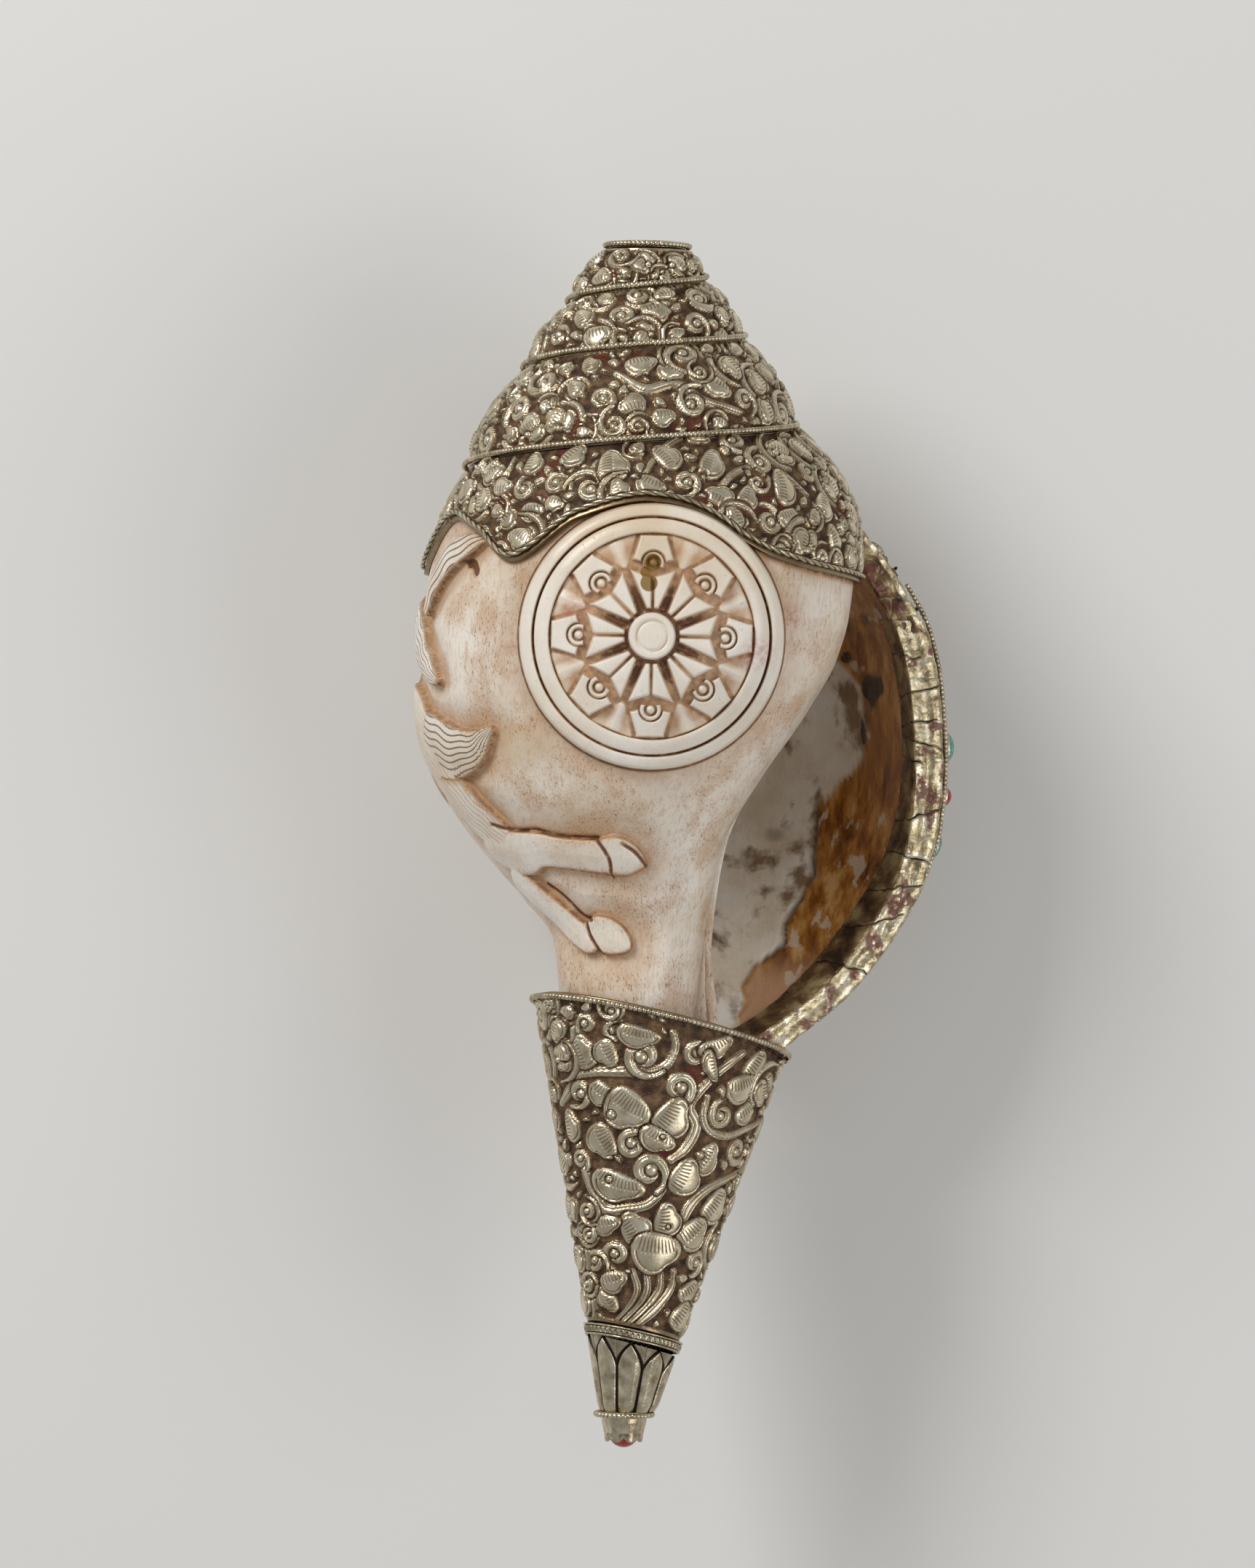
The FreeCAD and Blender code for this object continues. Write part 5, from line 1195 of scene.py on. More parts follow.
# Where the front's motifs sit, from the photo: x and height in millimetres, size, and turn in degrees.
# A leaf has its two half-widths and its turn; a volute its radius, the turn where it starts, its hand
# and the turns of its tail; a stem its points and half-width; a bud its radius. Stems are laid first,
# then volutes, leaves and buds.
band_work = {
    "spire_cap": {},
    "spire_band_1": {
        "volute": ((-4.6, 231.8, 2.1, 180, -1, 0.3), (10.0, 230.5, 2.1, 40, 1, 0.3),
            (-17.4, 227.8, 1.9, 90, 1, 0.3)),
        "leaf": ((2.4, 233.1, 3.2, 2.6, 25), (-12.5, 231.6, 2.8, 2.2, 140), (15.2, 228.0, 2.4, 2.0, -30)),
    },
    "spire_band_2": {
        "stem": ((((-5.7, 219.5), (0, 216.5), (6, 217.8), (12, 214.6), (19.5, 212.5)), 1.35),),
        "volute": ((-8.6, 214.2, 2.2, 0, 1, 0.4), (-4.6, 224.6, 1.9, 180, -1, 0.3),
            (9.6, 214.0, 2.3, 200, 1, 0.4), (20.0, 215.0, 2.0, 40, 1, 0.3)),
        "leaf": ((-0.7, 221.4, 3.3, 2.5, 20), (5.0, 220.0, 2.7, 2.0, -20), (-2.6, 213.3, 2.8, 2.2, 200),
            (14.4, 217.3, 3.2, 2.4, -35), (-10.8, 221.4, 2.5, 2.0, 120), (4.0, 210.8, 2.4, 1.9, 10)),
    },
    "spire_band_3": {
        "volute": ((27.6, 206.0, 2.0, 120, -1, 0.4),),
        "leaf": ((23.3, 208.3, 3.0, 2.2, -50),),
    },
    "skirt_front": {
        "stem": ((((-26, 193), (-20, 197.5), (-13, 198), (-7, 203)), 0.94),
            (((-1, 197), (6, 206), (15, 208), (22, 204)), 0.94),
            (((12, 190.5), (18, 199.5), (26, 201), (33, 196)), 0.94)),
        "volute": ((-17.2, 196.6, 2.1, 90, 1, 0.4), (-10.6, 195.8, 2.3, 0, -1, 0.5),
            (-23.4, 195.8, 2.0, 180, 1, 0.3), (18.0, 206.4, 2.3, 180, -1, 0.4),
            (8.6, 197.4, 2.1, 0, 1, 0.4), (23.4, 202.2, 2.2, 200, 1, 0.5), (25.2, 190.2, 2.2, 0, -1, 0.4),
            (33.2, 200.4, 2.0, 90, 1, 0.4), (-28.5, 183.0, 1.9, 0, 1, 0.3)),
        "leaf": ((-21.7, 201.0, 2.8, 2.1, 100), (-13.7, 202.4, 3.2, 2.4, 60), (-6.0, 200.6, 4.0, 3.1, 100),
            (4.7, 202.6, 3.5, 2.5, 130), (1.6, 196.4, 3.1, 2.2, -20), (13.7, 201.3, 3.9, 2.5, 70),
            (10.6, 206.8, 2.7, 2.0, -30), (15.5, 194.6, 3.3, 2.4, 150), (20.9, 194.6, 3.0, 2.1, 60),
            (28.2, 197.2, 4.1, 2.5, 85), (29.4, 191.0, 3.0, 2.0, 20), (-21.9, 191.0, 2.5, 2.1, 10),
            (-17.4, 192.6, 2.1, 1.8, -10), (-26.5, 189.5, 2.3, 1.9, 60), (36.4, 193.6, 3.3, 2.4, 60),
            (38.6, 187.4, 3.1, 2.1, 110), (-31.5, 186.0, 2.5, 2.0, 100)),
    },
    "skirt_back": {},
    "canal_sheath": {
        "stem": ((((-13.6, 71.0), (-11.8, 74.8), (-10.9, 77.4)), 1.08),
            (((-11.5, 76.8), (-6.7, 77.9), (-0.9, 78.1), (3.5, 78.0), (7.2, 79.6), (8.9, 83.2),
              (8.5, 86.2)), 1.15),
            (((8.4, 60.1), (11.5, 62.7), (13.4, 67.2), (12.0, 71.0), (13.9, 74.2), (17.6, 78.1),
              (22.7, 82.3)), 1.28),
            (((15.6, 73.2), (14.9, 69.6), (16.2, 66.3), (19.5, 65.0), (23.4, 66.3), (26.2, 67.8)), 1.01),
            (((-10.2, 62.8), (-8.9, 58.2), (-7.2, 53.7), (-4.5, 49.6), (-0.4, 49.8), (4.1, 50.9),
              (6.9, 54.2), (7.8, 58.2)), 1.22),
            (((10.6, 46.2), (12.0, 49.9), (14.3, 52.8), (18.1, 55.3), (24.4, 58.8)), 1.22),
            (((-2.5, 25.6), (0.3, 28.6), (2.2, 33.0), (1.2, 37.0)), 1.01),
            (((-1.2, 25.6), (2.2, 29.0), (4.1, 33.0), (4.0, 36.6)), 1.01),
            (((0.3, 25.6), (4.0, 29.2), (6.5, 33.2), (6.8, 36.6)), 1.01),
            (((2.0, 25.6), (5.8, 29.2), (8.8, 33.4), (9.4, 37.2)), 1.01)),
        "volute": ((-9.2, 87.6, 1.7, 180, -1, 0.2), (-3.4, 86.2, 1.7, 120, 1, 0.2),
            (2.5, 81.3, 2.6, 215, -1, 0.3), (13.1, 81.8, 2.0, 60, 1, 0.35), (9.7, 75.0, 2.4, 340, 1, 0.3),
            (30.0, 78.6, 1.6, 60, -1, 0.3), (-10.2, 73.4, 2.0, 320, 1, 0.25),
            (18.5, 69.4, 2.0, 180, 1, 0.35), (29.0, 71.8, 2.0, 60, 1, 0.4), (0.6, 63.0, 2.2, 100, 1, 0.3),
            (21.6, 62.0, 2.0, 250, -1, 0.4), (4.0, 57.6, 2.6, 20, 1, 0.25),
            (-2.1, 40.4, 2.0, 180, -1, 0.35), (13.4, 38.9, 1.9, 330, 1, 0.3),
            (-6.2, 38.6, 1.7, 90, 1, 0.35), (-9.6, 59.6, 1.4, 60, 1, 0.3)),
        "leaf": ((1.4, 85.4, 3.9, 2.0, -10), (-9.4, 82.0, 3.1, 2.6, 110), (-5.0, 81.7, 2.6, 2.1, -60),
            (17.2, 83.4, 3.4, 1.9, 25), (16.0, 79.4, 3.0, 1.3, -70), (25.2, 79.4, 3.2, 2.5, 60),
            (22.4, 74.9, 3.4, 2.6, 20), (-5.2, 73.0, 3.2, 2.1, -30), (-0.6, 70.2, 4.2, 3.7, -30),
            (8.6, 68.6, 3.9, 3.1, 60), (5.6, 64.2, 3.3, 2.1, -25), (-5.5, 63.5, 3.4, 2.6, -60),
            (26.8, 65.4, 3.1, 2.2, 60), (23.4, 69.9, 2.8, 1.9, 40), (-11.4, 66.6, 3.0, 1.7, 100),
            (15.6, 60.2, 3.3, 2.2, 60), (11.5, 56.6, 3.5, 2.8, 70), (-2.2, 54.4, 4.8, 2.7, -15),
            (17.4, 50.4, 3.5, 2.7, 60), (1.6, 46.0, 3.2, 2.7, 120), (13.2, 44.8, 3.3, 2.9, 45),
            (8.0, 47.8, 3.1, 2.4, 90), (5.9, 41.0, 4.3, 3.7, 0), (-4.2, 46.4, 2.7, 1.8, 10),
            (-3.6, 31.0, 2.6, 1.8, -60), (-2.4, 34.8, 2.5, 2.0, 20), (12.3, 32.8, 2.5, 1.9, 40),
            (10.9, 27.6, 2.8, 2.6, 60)),
        "bud": ((-3.7, 69.2, 1.0), (-3.8, 55.9, 0.8), (24.6, 75.3, 0.8), (14.2, 61.2, 0.9),
            (6.6, 64.9, 0.5), (8.0, 46.4, 0.5)),
    },
}
motif_sizes = (3.6, 2.9, 2.0, 1.3, 0.9)


def stamp_work(chasing, work, grow=1.06):
    """Lays the placed motifs, a little larger than measured, so that they stay joined."""
    for path, half in work.get("stem", ()):
        chasing.stem([chasing.at(p) for p in path], grow * half)
    for x, z, radius, *way in work.get("volute", ()):
        chasing.scroll(chasing.at((x, z)), grow * radius, *way)
    for x, z, long, short, turn in work.get("leaf", ()):
        chasing.leaf(chasing.at((x, z)), grow * long, grow * short, turn, 0.14, 1, 1.3)
    for x, z, radius in work.get("bud", ()):
        chasing.bud(chasing.at((x, z)), radius, 1.3)


def band_line(chasing, room, width, height=0.75):
    """A plain raised fillet along the sheet's edges."""
    chasing.smooth_off(height, smooth((width - room.ravel()) / 0.2))


def make_spire_silver(finish):
    """The cap and bands of the spire, and the skirt in its two halves."""
    bands = (("spire_cap", cap_end - 1, cap_end, 0.22), ("spire_band_1", cap_end, cap_end + 1, 0.22),
             ("spire_band_2", cap_end + 1, cap_end + 2, 0.25),
             ("spire_band_3", cap_end + 2, skirt_start, 0.25))
    for name, start, end, pitch in bands:
        spots = sheet_grid(start + 0.0005, end - 0.0005, band_top, band_foot, pitch)

        def work(chasing, room):
            stamp_work(chasing, band_work[name])
            sizes = (3.3, 2.6, 1.9, 1.3, 0.9) if name != "spire_cap" else (2.5, 1.8, 1.2, 0.8)
            chasing.fill(room, sizes)
            band_line(chasing, room, 0.55)

        chased_sheet(name, spots, work, finish, name)
    for name, start, end in (("skirt_front", skirt_start, back_seam), ("skirt_back", back_seam, lip_turn)):
        spots = sheet_grid(start + 0.0005, end - 0.0005, band_top, hem_height, 0.24)

        def work(chasing, room):
            stamp_work(chasing, band_work[name])
            chasing.fill(np.where(room > 2.2, room, 0), (3.5, 2.8, 2.0, 1.3, 0.9))
            run = np.linalg.norm(np.diff(spots, axis=0), axis=-1)[::-1].cumsum(0)[::-1]
            from_hem = np.concatenate([run, 0 * run[:1]]).ravel()
            chasing.smooth_off(0.35, smooth((2.15 - from_hem) / 0.2))

        chased_sheet(name, spots, work, finish, name)


def suture_path():
    """The wire's line from the cap down to the lip."""
    turn = np.linspace(0.62, lip_turn, 700)
    return on_shell(360 * turn, suture_radius(turn) + bead, suture_height(turn) + bead * 0.6)


def hem_path():
    """The twisted wire's line, just above the skirt's hem."""
    turn = np.linspace(skirt_start + 0.002, lip_turn - 0.002, 900)
    height = hem_height(turn) + 1.25
    return on_shell(360 * turn, silver_radius(turn, height) + 0.05, height)


# Canal sheath: an oval cone whose long way points at the lip, between two slanting planes

lip_way = np.array([math.cos(math.radians(lip_angle)), -math.sin(math.radians(lip_angle)), 0.0])
back_way = np.cross((0, 0, 1.0), lip_way)


def sheath_centre(height):
    """Centre of the leaning sheath at a height."""
    height = np.asarray(height, float)[..., None]
    return lip_way * (lean * height) + back_way * (back_lean * height) + np.array([0, 0, 1.0]) * height


def sheath_point(height, angle, grow=0.0):
    """A point of the sheath's outside, or one that lies a little further out. Angle 0 points at the lip."""
    share = (height - sheath_foot) / (rim_height - sheath_foot)
    long = mix(sheath_foot_wide, rim_long, share) / 2 + grow
    short = mix(sheath_foot_wide, rim_short, share) / 2 + grow
    a = np.radians(angle)
    return (sheath_centre(height) + lip_way * (long * np.cos(a))[..., None]
            - back_way * (short * np.sin(a))[..., None])


def plane_height(middle, spot):
    """Height over a spot of the slanting plane through the axis at a height."""
    centre = sheath_centre(middle)
    return middle - rim_slope * (spot[..., 0] - centre[0]) - rim_rise * (spot[..., 1] - centre[1])


def sheath_edge(middle, angle, grow=0.0):
    """Height where the sheath meets the slanting plane at each angle."""
    height = np.full(np.shape(angle), float(middle))
    for _ in range(8):
        height = plane_height(middle, sheath_point(height, angle, grow))
    return height


petals, first_petal, petal_shoulder = 9, 94, 0.62


def make_sheath(finish, lac_finish):
    """The scroll-worked cone with its rim wire, milled band, lotus ferrule and lac deck."""
    angle = np.linspace(0, 360, 560, endpoint=False)
    top, foot = sheath_edge(rim_height, angle), sheath_edge(sheath_foot, angle)
    share = np.linspace(0, 1, 236)[:, None]
    height = mix(top[None], foot[None], share)
    spots = sheath_point(height, np.broadcast_to(angle, height.shape))

    def work(chasing, room):
        stamp_work(chasing, band_work["canal_sheath"], 1.2)
        chasing.fill(np.where(room > 1.4, room, 0), motif_sizes)
        band_line(chasing, room, 1.0, 0.5)

    chased_sheet("canal_sheath", spots, work, finish, "canal_sheath", wrap=True, thick=sheath_wall)
    rim_angle = np.linspace(0, 360, 400, endpoint=False)
    height = sheath_edge(rim_height, rim_angle) - bead
    wire("sheath_rim_wire", sheath_point(height, rim_angle, bead * 0.8), bead, finishes["wire"],
         "sheath_rim_wire", closed=True, pitch=bead_pitch)

    # Milled band, with its notches
    angle = np.linspace(0, 360, 864, endpoint=False)
    swell = np.array((-0.9, 0.3, 0.4, 0.4, 0.3, -0.1, -0.1, 0.3, 0.4, 0.4, 0.3, -0.1, -0.1, 0.35, 0.4, 0.35,
                      -0.9))
    rows = np.array((0, 0, 0.04, 0.1, 0.15, 0.17, 0.24, 0.26, 0.32, 0.68, 0.74, 0.76, 0.83, 0.85, 0.93, 1, 1))
    notch = np.cos(np.radians(angle[None] * milled_notches + notch_slant * rows[:, None])) ** 2
    grow = swell[:, None] - np.where((rows > 0.3) & (rows < 0.7), 0.5, 0)[:, None] * notch ** 2
    top = sheath_edge(sheath_foot - seam_gap, angle)
    foot = sheath_edge(sheath_foot - seam_gap - milled_tall, angle)
    height = mix(top[None], foot[None], rows[:, None])
    spots = sheath_point(height, np.broadcast_to(angle, height.shape), grow)
    groove = clamp(0.3 - grow) * 1.1
    made = make_mesh("milled_band", spots, grid_faces(*height.shape, wrap=True), {"groove": groove})
    place(made, finishes["wire"], "silver", "milled_band")

    # Lotus ferrule: broad pointed petals in flat facets, with the tips of a second row between them
    angle = np.linspace(0, 360, 960, endpoint=False)
    share = np.linspace(1, 0, 150)[:, None]
    ferrule_top = sheath_edge(sheath_foot - 2 * seam_gap - milled_tall, angle)
    height = mix(ferrule_foot, ferrule_top[None], share)
    level = (height - ferrule_foot) / (sheath_foot - ferrule_foot)
    radius = mix(ferrule_foot_wide, sheath_foot_wide, level) / 2
    pitch = 360 / petals
    front = np.abs((angle - first_petal + pitch / 2) % pitch - pitch / 2)[None]
    behind = np.abs((angle - first_petal) % pitch - pitch / 2)[None]
    arch = clamp((share - petal_shoulder) / (1 - petal_shoulder))
    reach = pitch / 2 * (1 - arch ** 1.6)
    inside = (reach - front) * np.pi / 180 * radius
    edge = np.exp(-(inside / 0.3) ** 2)
    petal = -0.05 - 1.15 * np.maximum(0, front / (pitch / 2) - 0.42) - 0.3 * smooth((0.12 - share) / 0.12)
    vein = np.exp(-(behind * np.pi / 180 * radius / 0.15) ** 2)
    sepal = -0.3 - 0.3 * clamp(behind / (pitch / 2)) - 0.18 * vein
    on = smooth(inside / 0.16 + 0.5)
    lift = mix(sepal, petal, on) - 0.35 * edge
    turn = np.broadcast_to(angle, height.shape)
    spots = sheath_centre(height) * (1, 1, 0) + on_shell(turn, radius + lift, height)
    groove = 0.9 * edge + 0.25 * (1 - on)
    made = make_mesh("lotus_ferrule", spots, grid_faces(*height.shape, wrap=True), {"groove": groove})
    place(made, finishes["wire"], "silver", "lotus_ferrule")

    # Lac deck inside the rim
    angle = np.linspace(0, 360, 160, endpoint=False)
    share = np.linspace(1, 0.02, 60)[:, None]
    middle = rim_height - 1.6
    shape = (len(share), len(angle))
    spots = sheath_point(np.full(shape, middle), np.broadcast_to(angle, shape), -sheath_wall)
    centre = sheath_centre(middle)
    spots = centre + (spots - centre) * share[..., None]
    spots[..., 2] = plane_height(middle, spots) + 0.7 * (grain(spots, 2.5, 11) - 0.5)
    made = make_mesh("canal_lac_fill", spots, grid_faces(*shape, wrap=True)[:, ::-1])
    place(made, lac_finish, "lac", "canal_lac_fill")


def make_tip(coral):
    """The ring under the petals, the scalloped cup and the coral bead in it."""
    metal = finishes["wire"]
    angle = np.linspace(0, 360, 200, endpoint=False)
    ring = on_shell(angle, 5.1 + bead + seam_gap, ferrule_foot - bead - seam_gap)
    wire("tip_wire", ring, bead, metal, "tip_wire", closed=True, pitch=bead_pitch)

    def scallops(angle, radius, height):
        down = clamp((7.4 - height) / 6.2)
        lobes = np.abs(np.sin(np.radians(angle * 4)))
        drawn_in = 1 - 0.035 * (1 - lobes) * smooth(down * 2)
        return radius * drawn_in, height + 0.9 * (1 - lobes) * (height < 3)

    turned("tip_cup", ((5.1, 7.5), (5.15, 6.9), (4.7, 6.4), (4.75, 5.4), (4.2, 3.2), (4.0, 1.25), (3.3, 1.25),
                       (3.5, 3.0), (4.2, 7.4)), metal, 192, scallops)
    theta = np.linspace(0.02, np.pi - 0.02, 40)[:, None]
    turn = np.linspace(0, 360, 72, endpoint=False)[None]
    worn = end_bead * (1 - 0.03 * (grain(on_shell(turn, 3 * np.sin(theta), 3 * np.cos(theta)), 2, 12) - 0.4))
    spots = on_shell(turn, worn * np.sin(theta), end_bead + worn * np.cos(theta))
    spots[..., 2] = np.maximum(spots[..., 2], 0.03)
    quads = grid_faces(*worn.shape, wrap=True)
    place(make_mesh("coral_end_bead", spots, quads), coral, "coral", "coral_end_bead")


def make_mouthpiece():
    """The blowing rim and cup on their tube, with the wire round the rim."""
    metal = finishes["wire"]
    top = whole_length
    turned("mouthpiece", ((cup_wide, top), (mouth_rim, top), (mouth_rim, top - rim_thick),
                          (mouth_tube, top - rim_thick), (mouth_tube, top - tube_foot),
                          (mouth_bore, top - tube_foot), (mouth_bore, top - cup_deep),
                          (cup_wide, top - 0.02)), metal)
    angle = np.linspace(0, 360, 240, endpoint=False)
    ring = on_shell(angle, mouth_rim + bead + seam_gap, top - rim_thick / 2)
    wire("mouthpiece_rim_wire", ring, bead, metal, "mouthpiece_rim_wire", closed=True, pitch=bead_pitch)


# Silver on the lip

fold_gap, fold_thick, fold_outside, fold_inside = bedding / 2, 0.6, 2.0, 8.0
fold_top, gusset_top = 172.0, 190.5
# Cracks across the foil: height, slant, and the share of its width where each starts
foil_cracks = ((163.8, 0.2, 0.4), (157.2, -0.3, 0.2), (150.6, -0.2, 0.3), (146, 0.4, 0.1), (141.9, 0.25, 0.5),
               (131, -0.3, 0.1), (122.0, 0.3, 0.2), (116, -0.2, 0.1), (109, -0.4, 0.3), (99, 0.3, 0.1))
outside_angle = math.degrees(fold_outside / lip_radius)
inside_angle = math.degrees(fold_inside / lip_radius)
beyond = on_shell(lip_angle + 90, 1.0, 0.0)
wing_front = lip_angle - outside_angle - math.degrees(2 * seam_gap / lip_radius)
wing_back = wing_front - math.degrees(wing_width / lip_radius)


def chamber_outer(angle, height):
    """Radius of the passage's outer wall near the lip."""
    turns_in = (lip_angle - angle) / 360
    foot = mix(chamber_foot, inner_height - inner_tall / 2, 1 - (1 - turns_in) ** 2.2)
    top = mix(chamber_top, inner_height + inner_tall / 2, turns_in)
    share = clamp((height - foot) / (top - foot))
    return chamber(turns_in, share, 1.0)[1]


def crumpled(spots, normals, depth, size, seed):
    """Foil pressed down by hand: flat facets between sharp creases."""
    coarse = np.abs(2 * grain(spots, size, seed) - 1)
    fine = np.abs(2 * grain(spots, size * 0.42, seed + 1) - 1)
    lift = depth * (np.minimum(coarse, 0.55) * 1.3 + 0.45 * np.minimum(fine, 0.5)) - 0.45 * depth
    return spots + normals * lift[..., None], clamp(1 - 3.2 * np.minimum(coarse, fine * 1.3))


def make_lip_silver(finish):
    """The foil folded over the lip, the gusset at the mouth's top and the plate behind the lip."""
    foot = float(sheath_edge(rim_height, np.zeros(1))[0]) + 2 * bead
    height = np.linspace(fold_top, foot, 520)

    def out_radius(angle, extra):
        return shell_radius(angle, height) + fold_gap + extra

    def in_radius(angle, extra):
        return chamber_outer(angle, height) - 3 * fold_gap - extra

    lip = np.full(len(height), lip_angle)
    proud = fold_gap + fold_thick
    corners = [
        on_shell(lip - outside_angle, out_radius(lip - outside_angle, 0.1), height),
        on_shell(lip - outside_angle, out_radius(lip - outside_angle, fold_thick), height),
        on_shell(lip, out_radius(lip, fold_thick), height) + beyond * proud * 0.6,
        on_shell(lip, out_radius(lip, 0) - 1.2, height) + beyond * (proud + 0.1),
        on_shell(lip, mix(out_radius(lip, 0), in_radius(lip, 0), 0.5), height) + beyond * (proud - 0.25),
        on_shell(lip, in_radius(lip, -0.9), height) + beyond * (proud + 0.15),
        on_shell(lip, in_radius(lip, fold_thick * 0.7), height) + beyond * proud * 0.6,
        on_shell(lip - inside_angle * 0.4, in_radius(lip - inside_angle * 0.4, fold_thick), height),
        on_shell(lip - inside_angle, in_radius(lip - inside_angle, fold_thick * 0.6), height),
        on_shell(lip - inside_angle, in_radius(lip - inside_angle, 0.0), height)]
    corners = np.array(corners)
    spots = np.stack([curve_through(corners[:, k], 7) for k in range(len(height))])
    # Columns run from the outside over the face and in: against the shell's angles
    normals = facing(spots)
    moved = crumpled(spots, normals, 0.32, 3.4, 21)[0]
    ease = np.minimum(1, np.arange(spots.shape[1]) / 4)[None, :, None]
    spots = spots + (moved - spots) * ease
    along_band = np.linspace(0, 1, spots.shape[1])[None, :]
    inner_side = smooth((along_band - 0.56 - 0.05 * grain(spots, 5, 23)) / 0.05)
    level = np.broadcast_to(height[:, None], spots.shape[:2])
    cross = np.zeros(spots.shape[:2])
    for z, slant, start in foil_cracks:
        run = level - z - slant * 12 * (along_band - 0.5) - grain(spots, 1.7, 24)
        line = np.exp(-(run / 0.2) ** 2)
        cross = np.maximum(cross, line * (along_band > start))
    spots = spots - normals * (0.3 * cross)[..., None]
    bright_line = np.exp(-((along_band - 0.54) / 0.02) ** 2)
    flaked = smooth((grain(spots, 2.6, 25) - 0.62) / 0.05) * (1 - inner_side)
    layers = {"ground": clamp(inner_side - bright_line), "cut": clamp(cross), "flaked": flaked}
    made = make_mesh("lip_binding", spots, grid_faces(*spots.shape[:2]), layers)
    place(made, finishes["foil"], "silver", "lip_binding")

    # Gusset folded over the mouth's top corner
    low, top, peak = fold_top - 4, gusset_top, chamber_top + fold_gap
    height = np.linspace(top, low, 190)
    outer = shell_radius(lip_angle, height) + 0.3
    clear = shell_radius(lip_start, height) + bedding + sheet + 2 * cord + bedding
    open_from = chamber_outer(lip_angle, np.minimum(height, chamber_top - 0.1)) - fold_gap - 1.2
    under = smooth((peak - height) / 3.5)
    inner = np.where(height > peak, clear, mix(shell_radius(lip_start, peak) + 2.6, open_from, under))
    inner = np.minimum(inner, outer - 0.5)
    share = np.linspace(0, 1, 90)
    radii = mix(outer[:, None], inner[:, None], share[None])
    spots = on_shell(lip_angle, radii, np.broadcast_to(height[:, None], radii.shape))
    fold = 1.1 * np.exp(-((radii - (outer[:, None] - 4.2 - 0.25 * (top - height[:, None]))) / 0.9) ** 2)
    spots = spots + beyond * (proud * 0.8)
    moved, crease = crumpled(spots, np.broadcast_to(beyond, spots.shape), 0.75, 4.0, 31)
    row = np.arange(len(height))[:, None]
    edge = smooth(np.minimum(np.minimum(share, 1 - share)[None] * 12, np.minimum(row, row[::-1]) / 6))
    spots = spots + ((moved - spots) + beyond * fold[..., None] * 0.5) * edge[..., None]
    spots = spots - beyond * (0.5 * (1 - edge))[..., None]
    near_lip = smooth((2.2 - (outer[:, None] - radii)) / 1.2)
    layers = {"ground": clamp(0.95 * (1 - near_lip) - 0.28 * crease),
              "flaked": smooth((grain(spots, 4, 26) - 0.7) / 0.05) * (1 - crease)}
    made = make_mesh("lip_gusset", spots, grid_faces(*radii.shape), layers)
    place(made, finishes["foil"], "silver", "lip_gusset")

    # Jewelled plate behind the lip
    columns = int(wing_width * 1.04 / 0.27)
    angle = np.linspace(wing_back, wing_front, columns)
    share = np.linspace(0, 1, int((wing_top - wing_foot) / 0.27))[:, None]
    height = mix(np.full((1, columns), wing_top), wing_foot, share)
    turn = last_turn + np.broadcast_to(angle, height.shape) / 360
    spots = on_shell(360 * turn, silver_radius(turn, height), height)

    def work(chasing, room):
        inside = np.where(room > 3.2, room - 2.2, 0)
        for k in (-1, 0, 1):
            i = np.argmin(((chasing.spots - seat_on_wing(stone_height + k * stone_pitch)[0]) ** 2).sum(1))
            chasing.placed.append((chasing.spots[i], 4.0))
        chasing.fill(inside, motif_sizes)
        band_line(chasing, room, 2.6, 0.45)

    chased_sheet("lip_wing", spots, work, finish, "lip_wing")


def on_wing(angle, height, lift):
    """A point above the plate behind the lip."""
    turn = last_turn + np.asarray(angle, float) / 360
    return on_shell(360 * turn, silver_radius(turn, height) + lift, height)


def make_lip_wires():
    """The beaded wires along the lip and round the plate."""
    metal = finishes["wire"]
    lift = bead * 0.9
    top = float(hem_height(np.array(lip_turn - 0.001))) - 2 * bead - bedding
    height = np.linspace(rim_height + 1.6, top, 300)
    joint = (wing_front + lip_angle - outside_angle) / 2
    wire("lip_bead_wire", on_wing(joint, height, lift), bead, metal, "lip_bead_wire", pitch=bead_pitch)
    inset = 2 * bead + 2 * seam_gap
    half_wide, half_tall, corner = wing_width - inset, (wing_top - wing_foot) / 2 - inset, stone_pitch / 2
    arc = np.linspace(0, np.pi / 2, 24)
    top_turn = [(-half_wide + corner - corner * math.sin(a), half_tall - corner + corner * math.cos(a))
                for a in arc]
    foot_turn = [(-half_wide + corner - corner * math.cos(a), -half_tall + corner - corner * math.sin(a))
                 for a in arc]
    border = [(-2 * inset, half_tall)] + top_turn + foot_turn + [(-2 * inset, -half_tall)]
    flat = even_path([(x, y, 0) for x, y in border], 0.6)[0]
    middle = (wing_top + wing_foot) / 2
    spots = on_wing(wing_front + np.degrees(flat[:, 0] / lip_radius), middle + flat[:, 1], lift)
    wire("wing_border_wire", spots, bead, metal, "wing_border_wire", pitch=bead_pitch)


# Stones

stone_angle = lip_angle - math.degrees(stone_setback / lip_radius)


def seat_on_wing(height):
    """Place of a setting: its foot's centre, the way up the lip, and the way out of the plate."""
    base = on_wing(stone_angle, height, 2 * seam_gap)
    up = on_wing(stone_angle, height + stone_short, 0) - on_wing(stone_angle, height - stone_short, 0)
    step = math.degrees(stone_short / lip_radius)
    round_way = on_wing(stone_angle + step, height, 0) - on_wing(stone_angle - step, height, 0)
    out = np.cross(up, round_way)
    up, out = up / np.linalg.norm(up), out / np.linalg.norm(out)
    return base, up, out


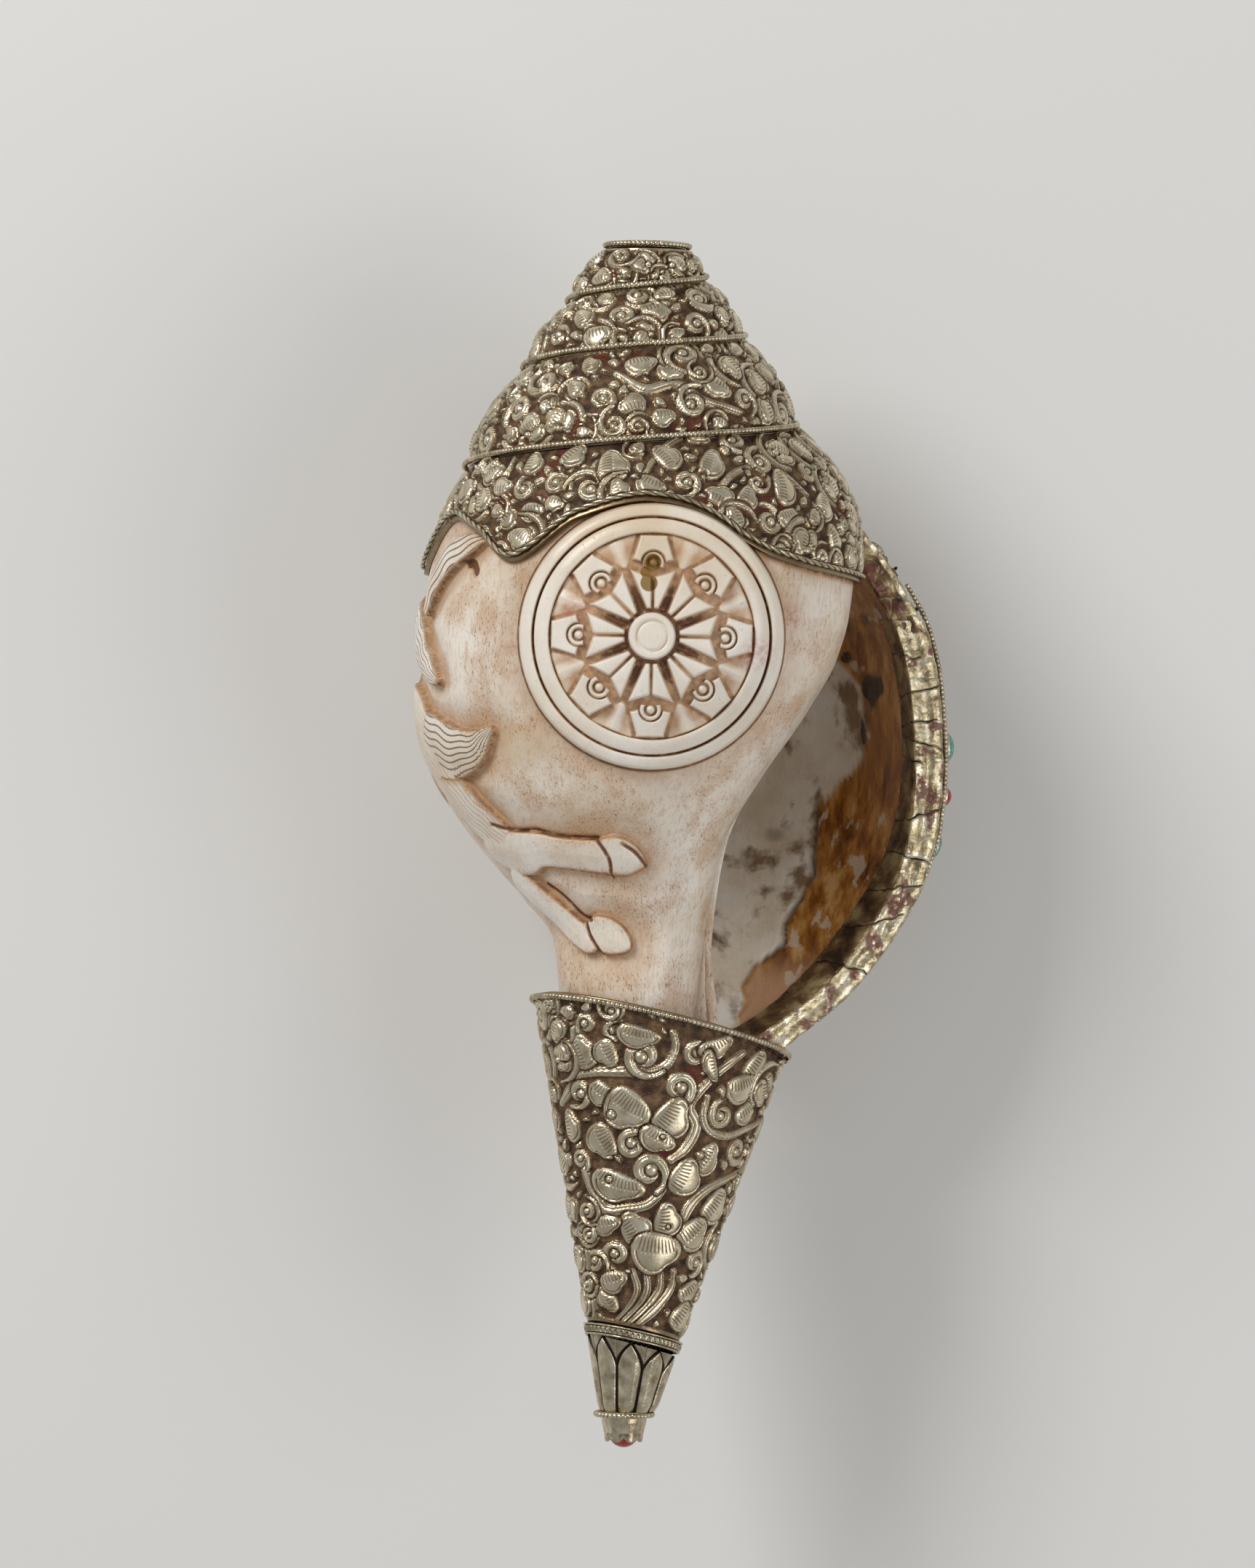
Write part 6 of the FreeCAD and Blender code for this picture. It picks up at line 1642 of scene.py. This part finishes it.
def oval(name, seat, long, profile, finish, slot, worn=0.0, columns=64, short=stone_short):
    """An oval piece from a profile of (share of the radius, millimetres added to it, height)."""
    base, up, out = seat
    side = np.cross(up, out)
    a = np.linspace(0, 2 * np.pi, columns, endpoint=False)
    p = rounded(profile, 0.18)
    along_up = (p[:, :1] * long + p[:, 1:2]) * np.cos(a)
    along_side = (p[:, :1] * short + p[:, 1:2]) * np.sin(a)
    spots = (base + along_up[..., None] * up + along_side[..., None] * side
             + np.broadcast_to(p[:, 2:], along_up.shape)[..., None] * out)
    if worn:
        outer = np.hypot(along_up / long, along_side / short)
        spots = spots - out * (worn * grain(spots, 1.6, 41) * outer)[..., None]
    place(make_mesh(name, spots, grid_faces(*along_up.shape, wrap=True)), finish, slot, name)


def make_stones(turquoise, coral):
    """Three domed stones in their cups, each with a ring of dots round it."""
    metal = finishes["wire"]
    rows = (("turquoise_upper", 1, stone_long, turquoise, "turquoise"),
            ("coral_middle", 0, stone_short, coral, "coral"),
            ("turquoise_lower", -1, stone_long, turquoise, "turquoise"))
    for name, place_up, long, finish, slot in rows:
        seat = seat_on_wing(stone_height + place_up * stone_pitch)
        t = np.linspace(0.03, np.pi / 2, 14)
        dome = [(math.sin(a), -0.05, 1.2 + (stone_rise - 1.2) * math.cos(a)) for a in t]
        oval(name, seat, long, dome + [(1, -0.05, 0.3)], finish, slot, 0.18)
        cup = ((1, 0.02, 1.0), (1, 0.06, 1.7), (1, 0.5, 1.6), (1, 0.42, 0.9), (1, 0.5, 0.0))
        oval("setting_of_" + name, seat, long, cup, metal, "silver")
        base, up, out = seat
        side = np.cross(up, out)
        a = np.linspace(0, 2 * np.pi, 90, endpoint=False)[:, None]
        ring = base + np.cos(a) * up * (long + 0.75) + np.sin(a) * side * (stone_short + 0.75) + out * 0.35
        wire("dots_round_" + name, ring, 0.36, metal, None, closed=True, pitch=0.72)


# The object

make_wheel(finishes["shell"])
make_shell(finishes["shell"], finishes["mouth"])
make_spire_silver(finishes["chased"])
wire("suture_wire", suture_path(), bead, finishes["wire"], "suture_wire", pitch=bead_pitch)
wire("skirt_hem_wire", hem_path(), cord, finishes["wire"], "skirt_hem_wire", lead=2.4, columns=12)
make_sheath(finishes["chased"], finishes["lac"])
make_lip_silver(finishes["chased"])
make_lip_wires()
make_stones(finishes["turquoise"], finishes["coral"])
make_tip(finishes["coral"])
make_mouthpiece()

# Floor, light and camera. The photograph looks straight down, with the axis leaning a little right.
# Its middle lies so far beside the axis and above the coral bead, and it is so tall.
view_side, view_height, view_tall, view_lean = -0.0019, 0.1368, 0.3234, 0.02
camera_distance, sensor = 1.5, 36.0
middle = (axis_x + view_side, face_y - whole_length / 1000 + view_height)

floor_finish, tree = new_finish("pale_floor")
shader = add(tree, "BsdfPrincipled", {"Base Color": "#e6e4e0", "Roughness": 0.9, "Specular IOR Level": 0.1})
add(tree, "OutputMaterial", {"Surface": shader})
floor = bpy.data.objects.new("floor", bpy.data.meshes.new("floor"))
reach = 3.0
floor.data.from_pydata([(-reach, -reach, 0), (reach, -reach, 0), (reach, reach, 0), (-reach, reach, 0)], [],
                       [(0, 1, 2, 3)])
floor.data.materials.append(floor_finish)
bpy.context.scene.collection.objects.link(floor)


def lamp(name, place_at, aim, size, power):
    """A round lamp of a size and power that faces a point."""
    data = bpy.data.lights.new(name, "AREA")
    data.shape, data.size, data.energy = "DISK", size, power
    made = bpy.data.objects.new(name, data)
    made.location = place_at
    dx, dy, dz = (end - start for start, end in zip(place_at, aim))
    made.rotation_euler = (math.atan2(math.hypot(dx, dy), -dz), 0, math.atan2(-dx, dy))
    bpy.context.scene.collection.objects.link(made)


lamp("window_upper_left", (-0.75, 0.75, 0.95), (0, 0, 0.05), 0.55, 9.5)
lamp("fill_right", (0.9, -0.2, 1.0), (0, 0, 0.05), 0.9, 4.2)

world = bpy.data.worlds.new("room")
world.use_nodes = True
world.node_tree.nodes["Background"].inputs["Color"].default_value = linear("#f2f3f5")
world.node_tree.nodes["Background"].inputs["Strength"].default_value = 0.42
bpy.context.scene.world = world

camera_data = bpy.data.cameras.new("camera")
camera_data.sensor_width = sensor
camera_data.lens = sensor * camera_distance / view_tall
camera_data.clip_start, camera_data.clip_end = 0.1, 10
camera = bpy.data.objects.new("camera", camera_data)
camera.location = (middle[0], middle[1], axis_z + camera_distance)
camera.rotation_euler = (0, 0, view_lean)
bpy.context.scene.collection.objects.link(camera)
bpy.context.scene.camera = camera
bpy.context.scene.view_settings.view_transform = "Standard"
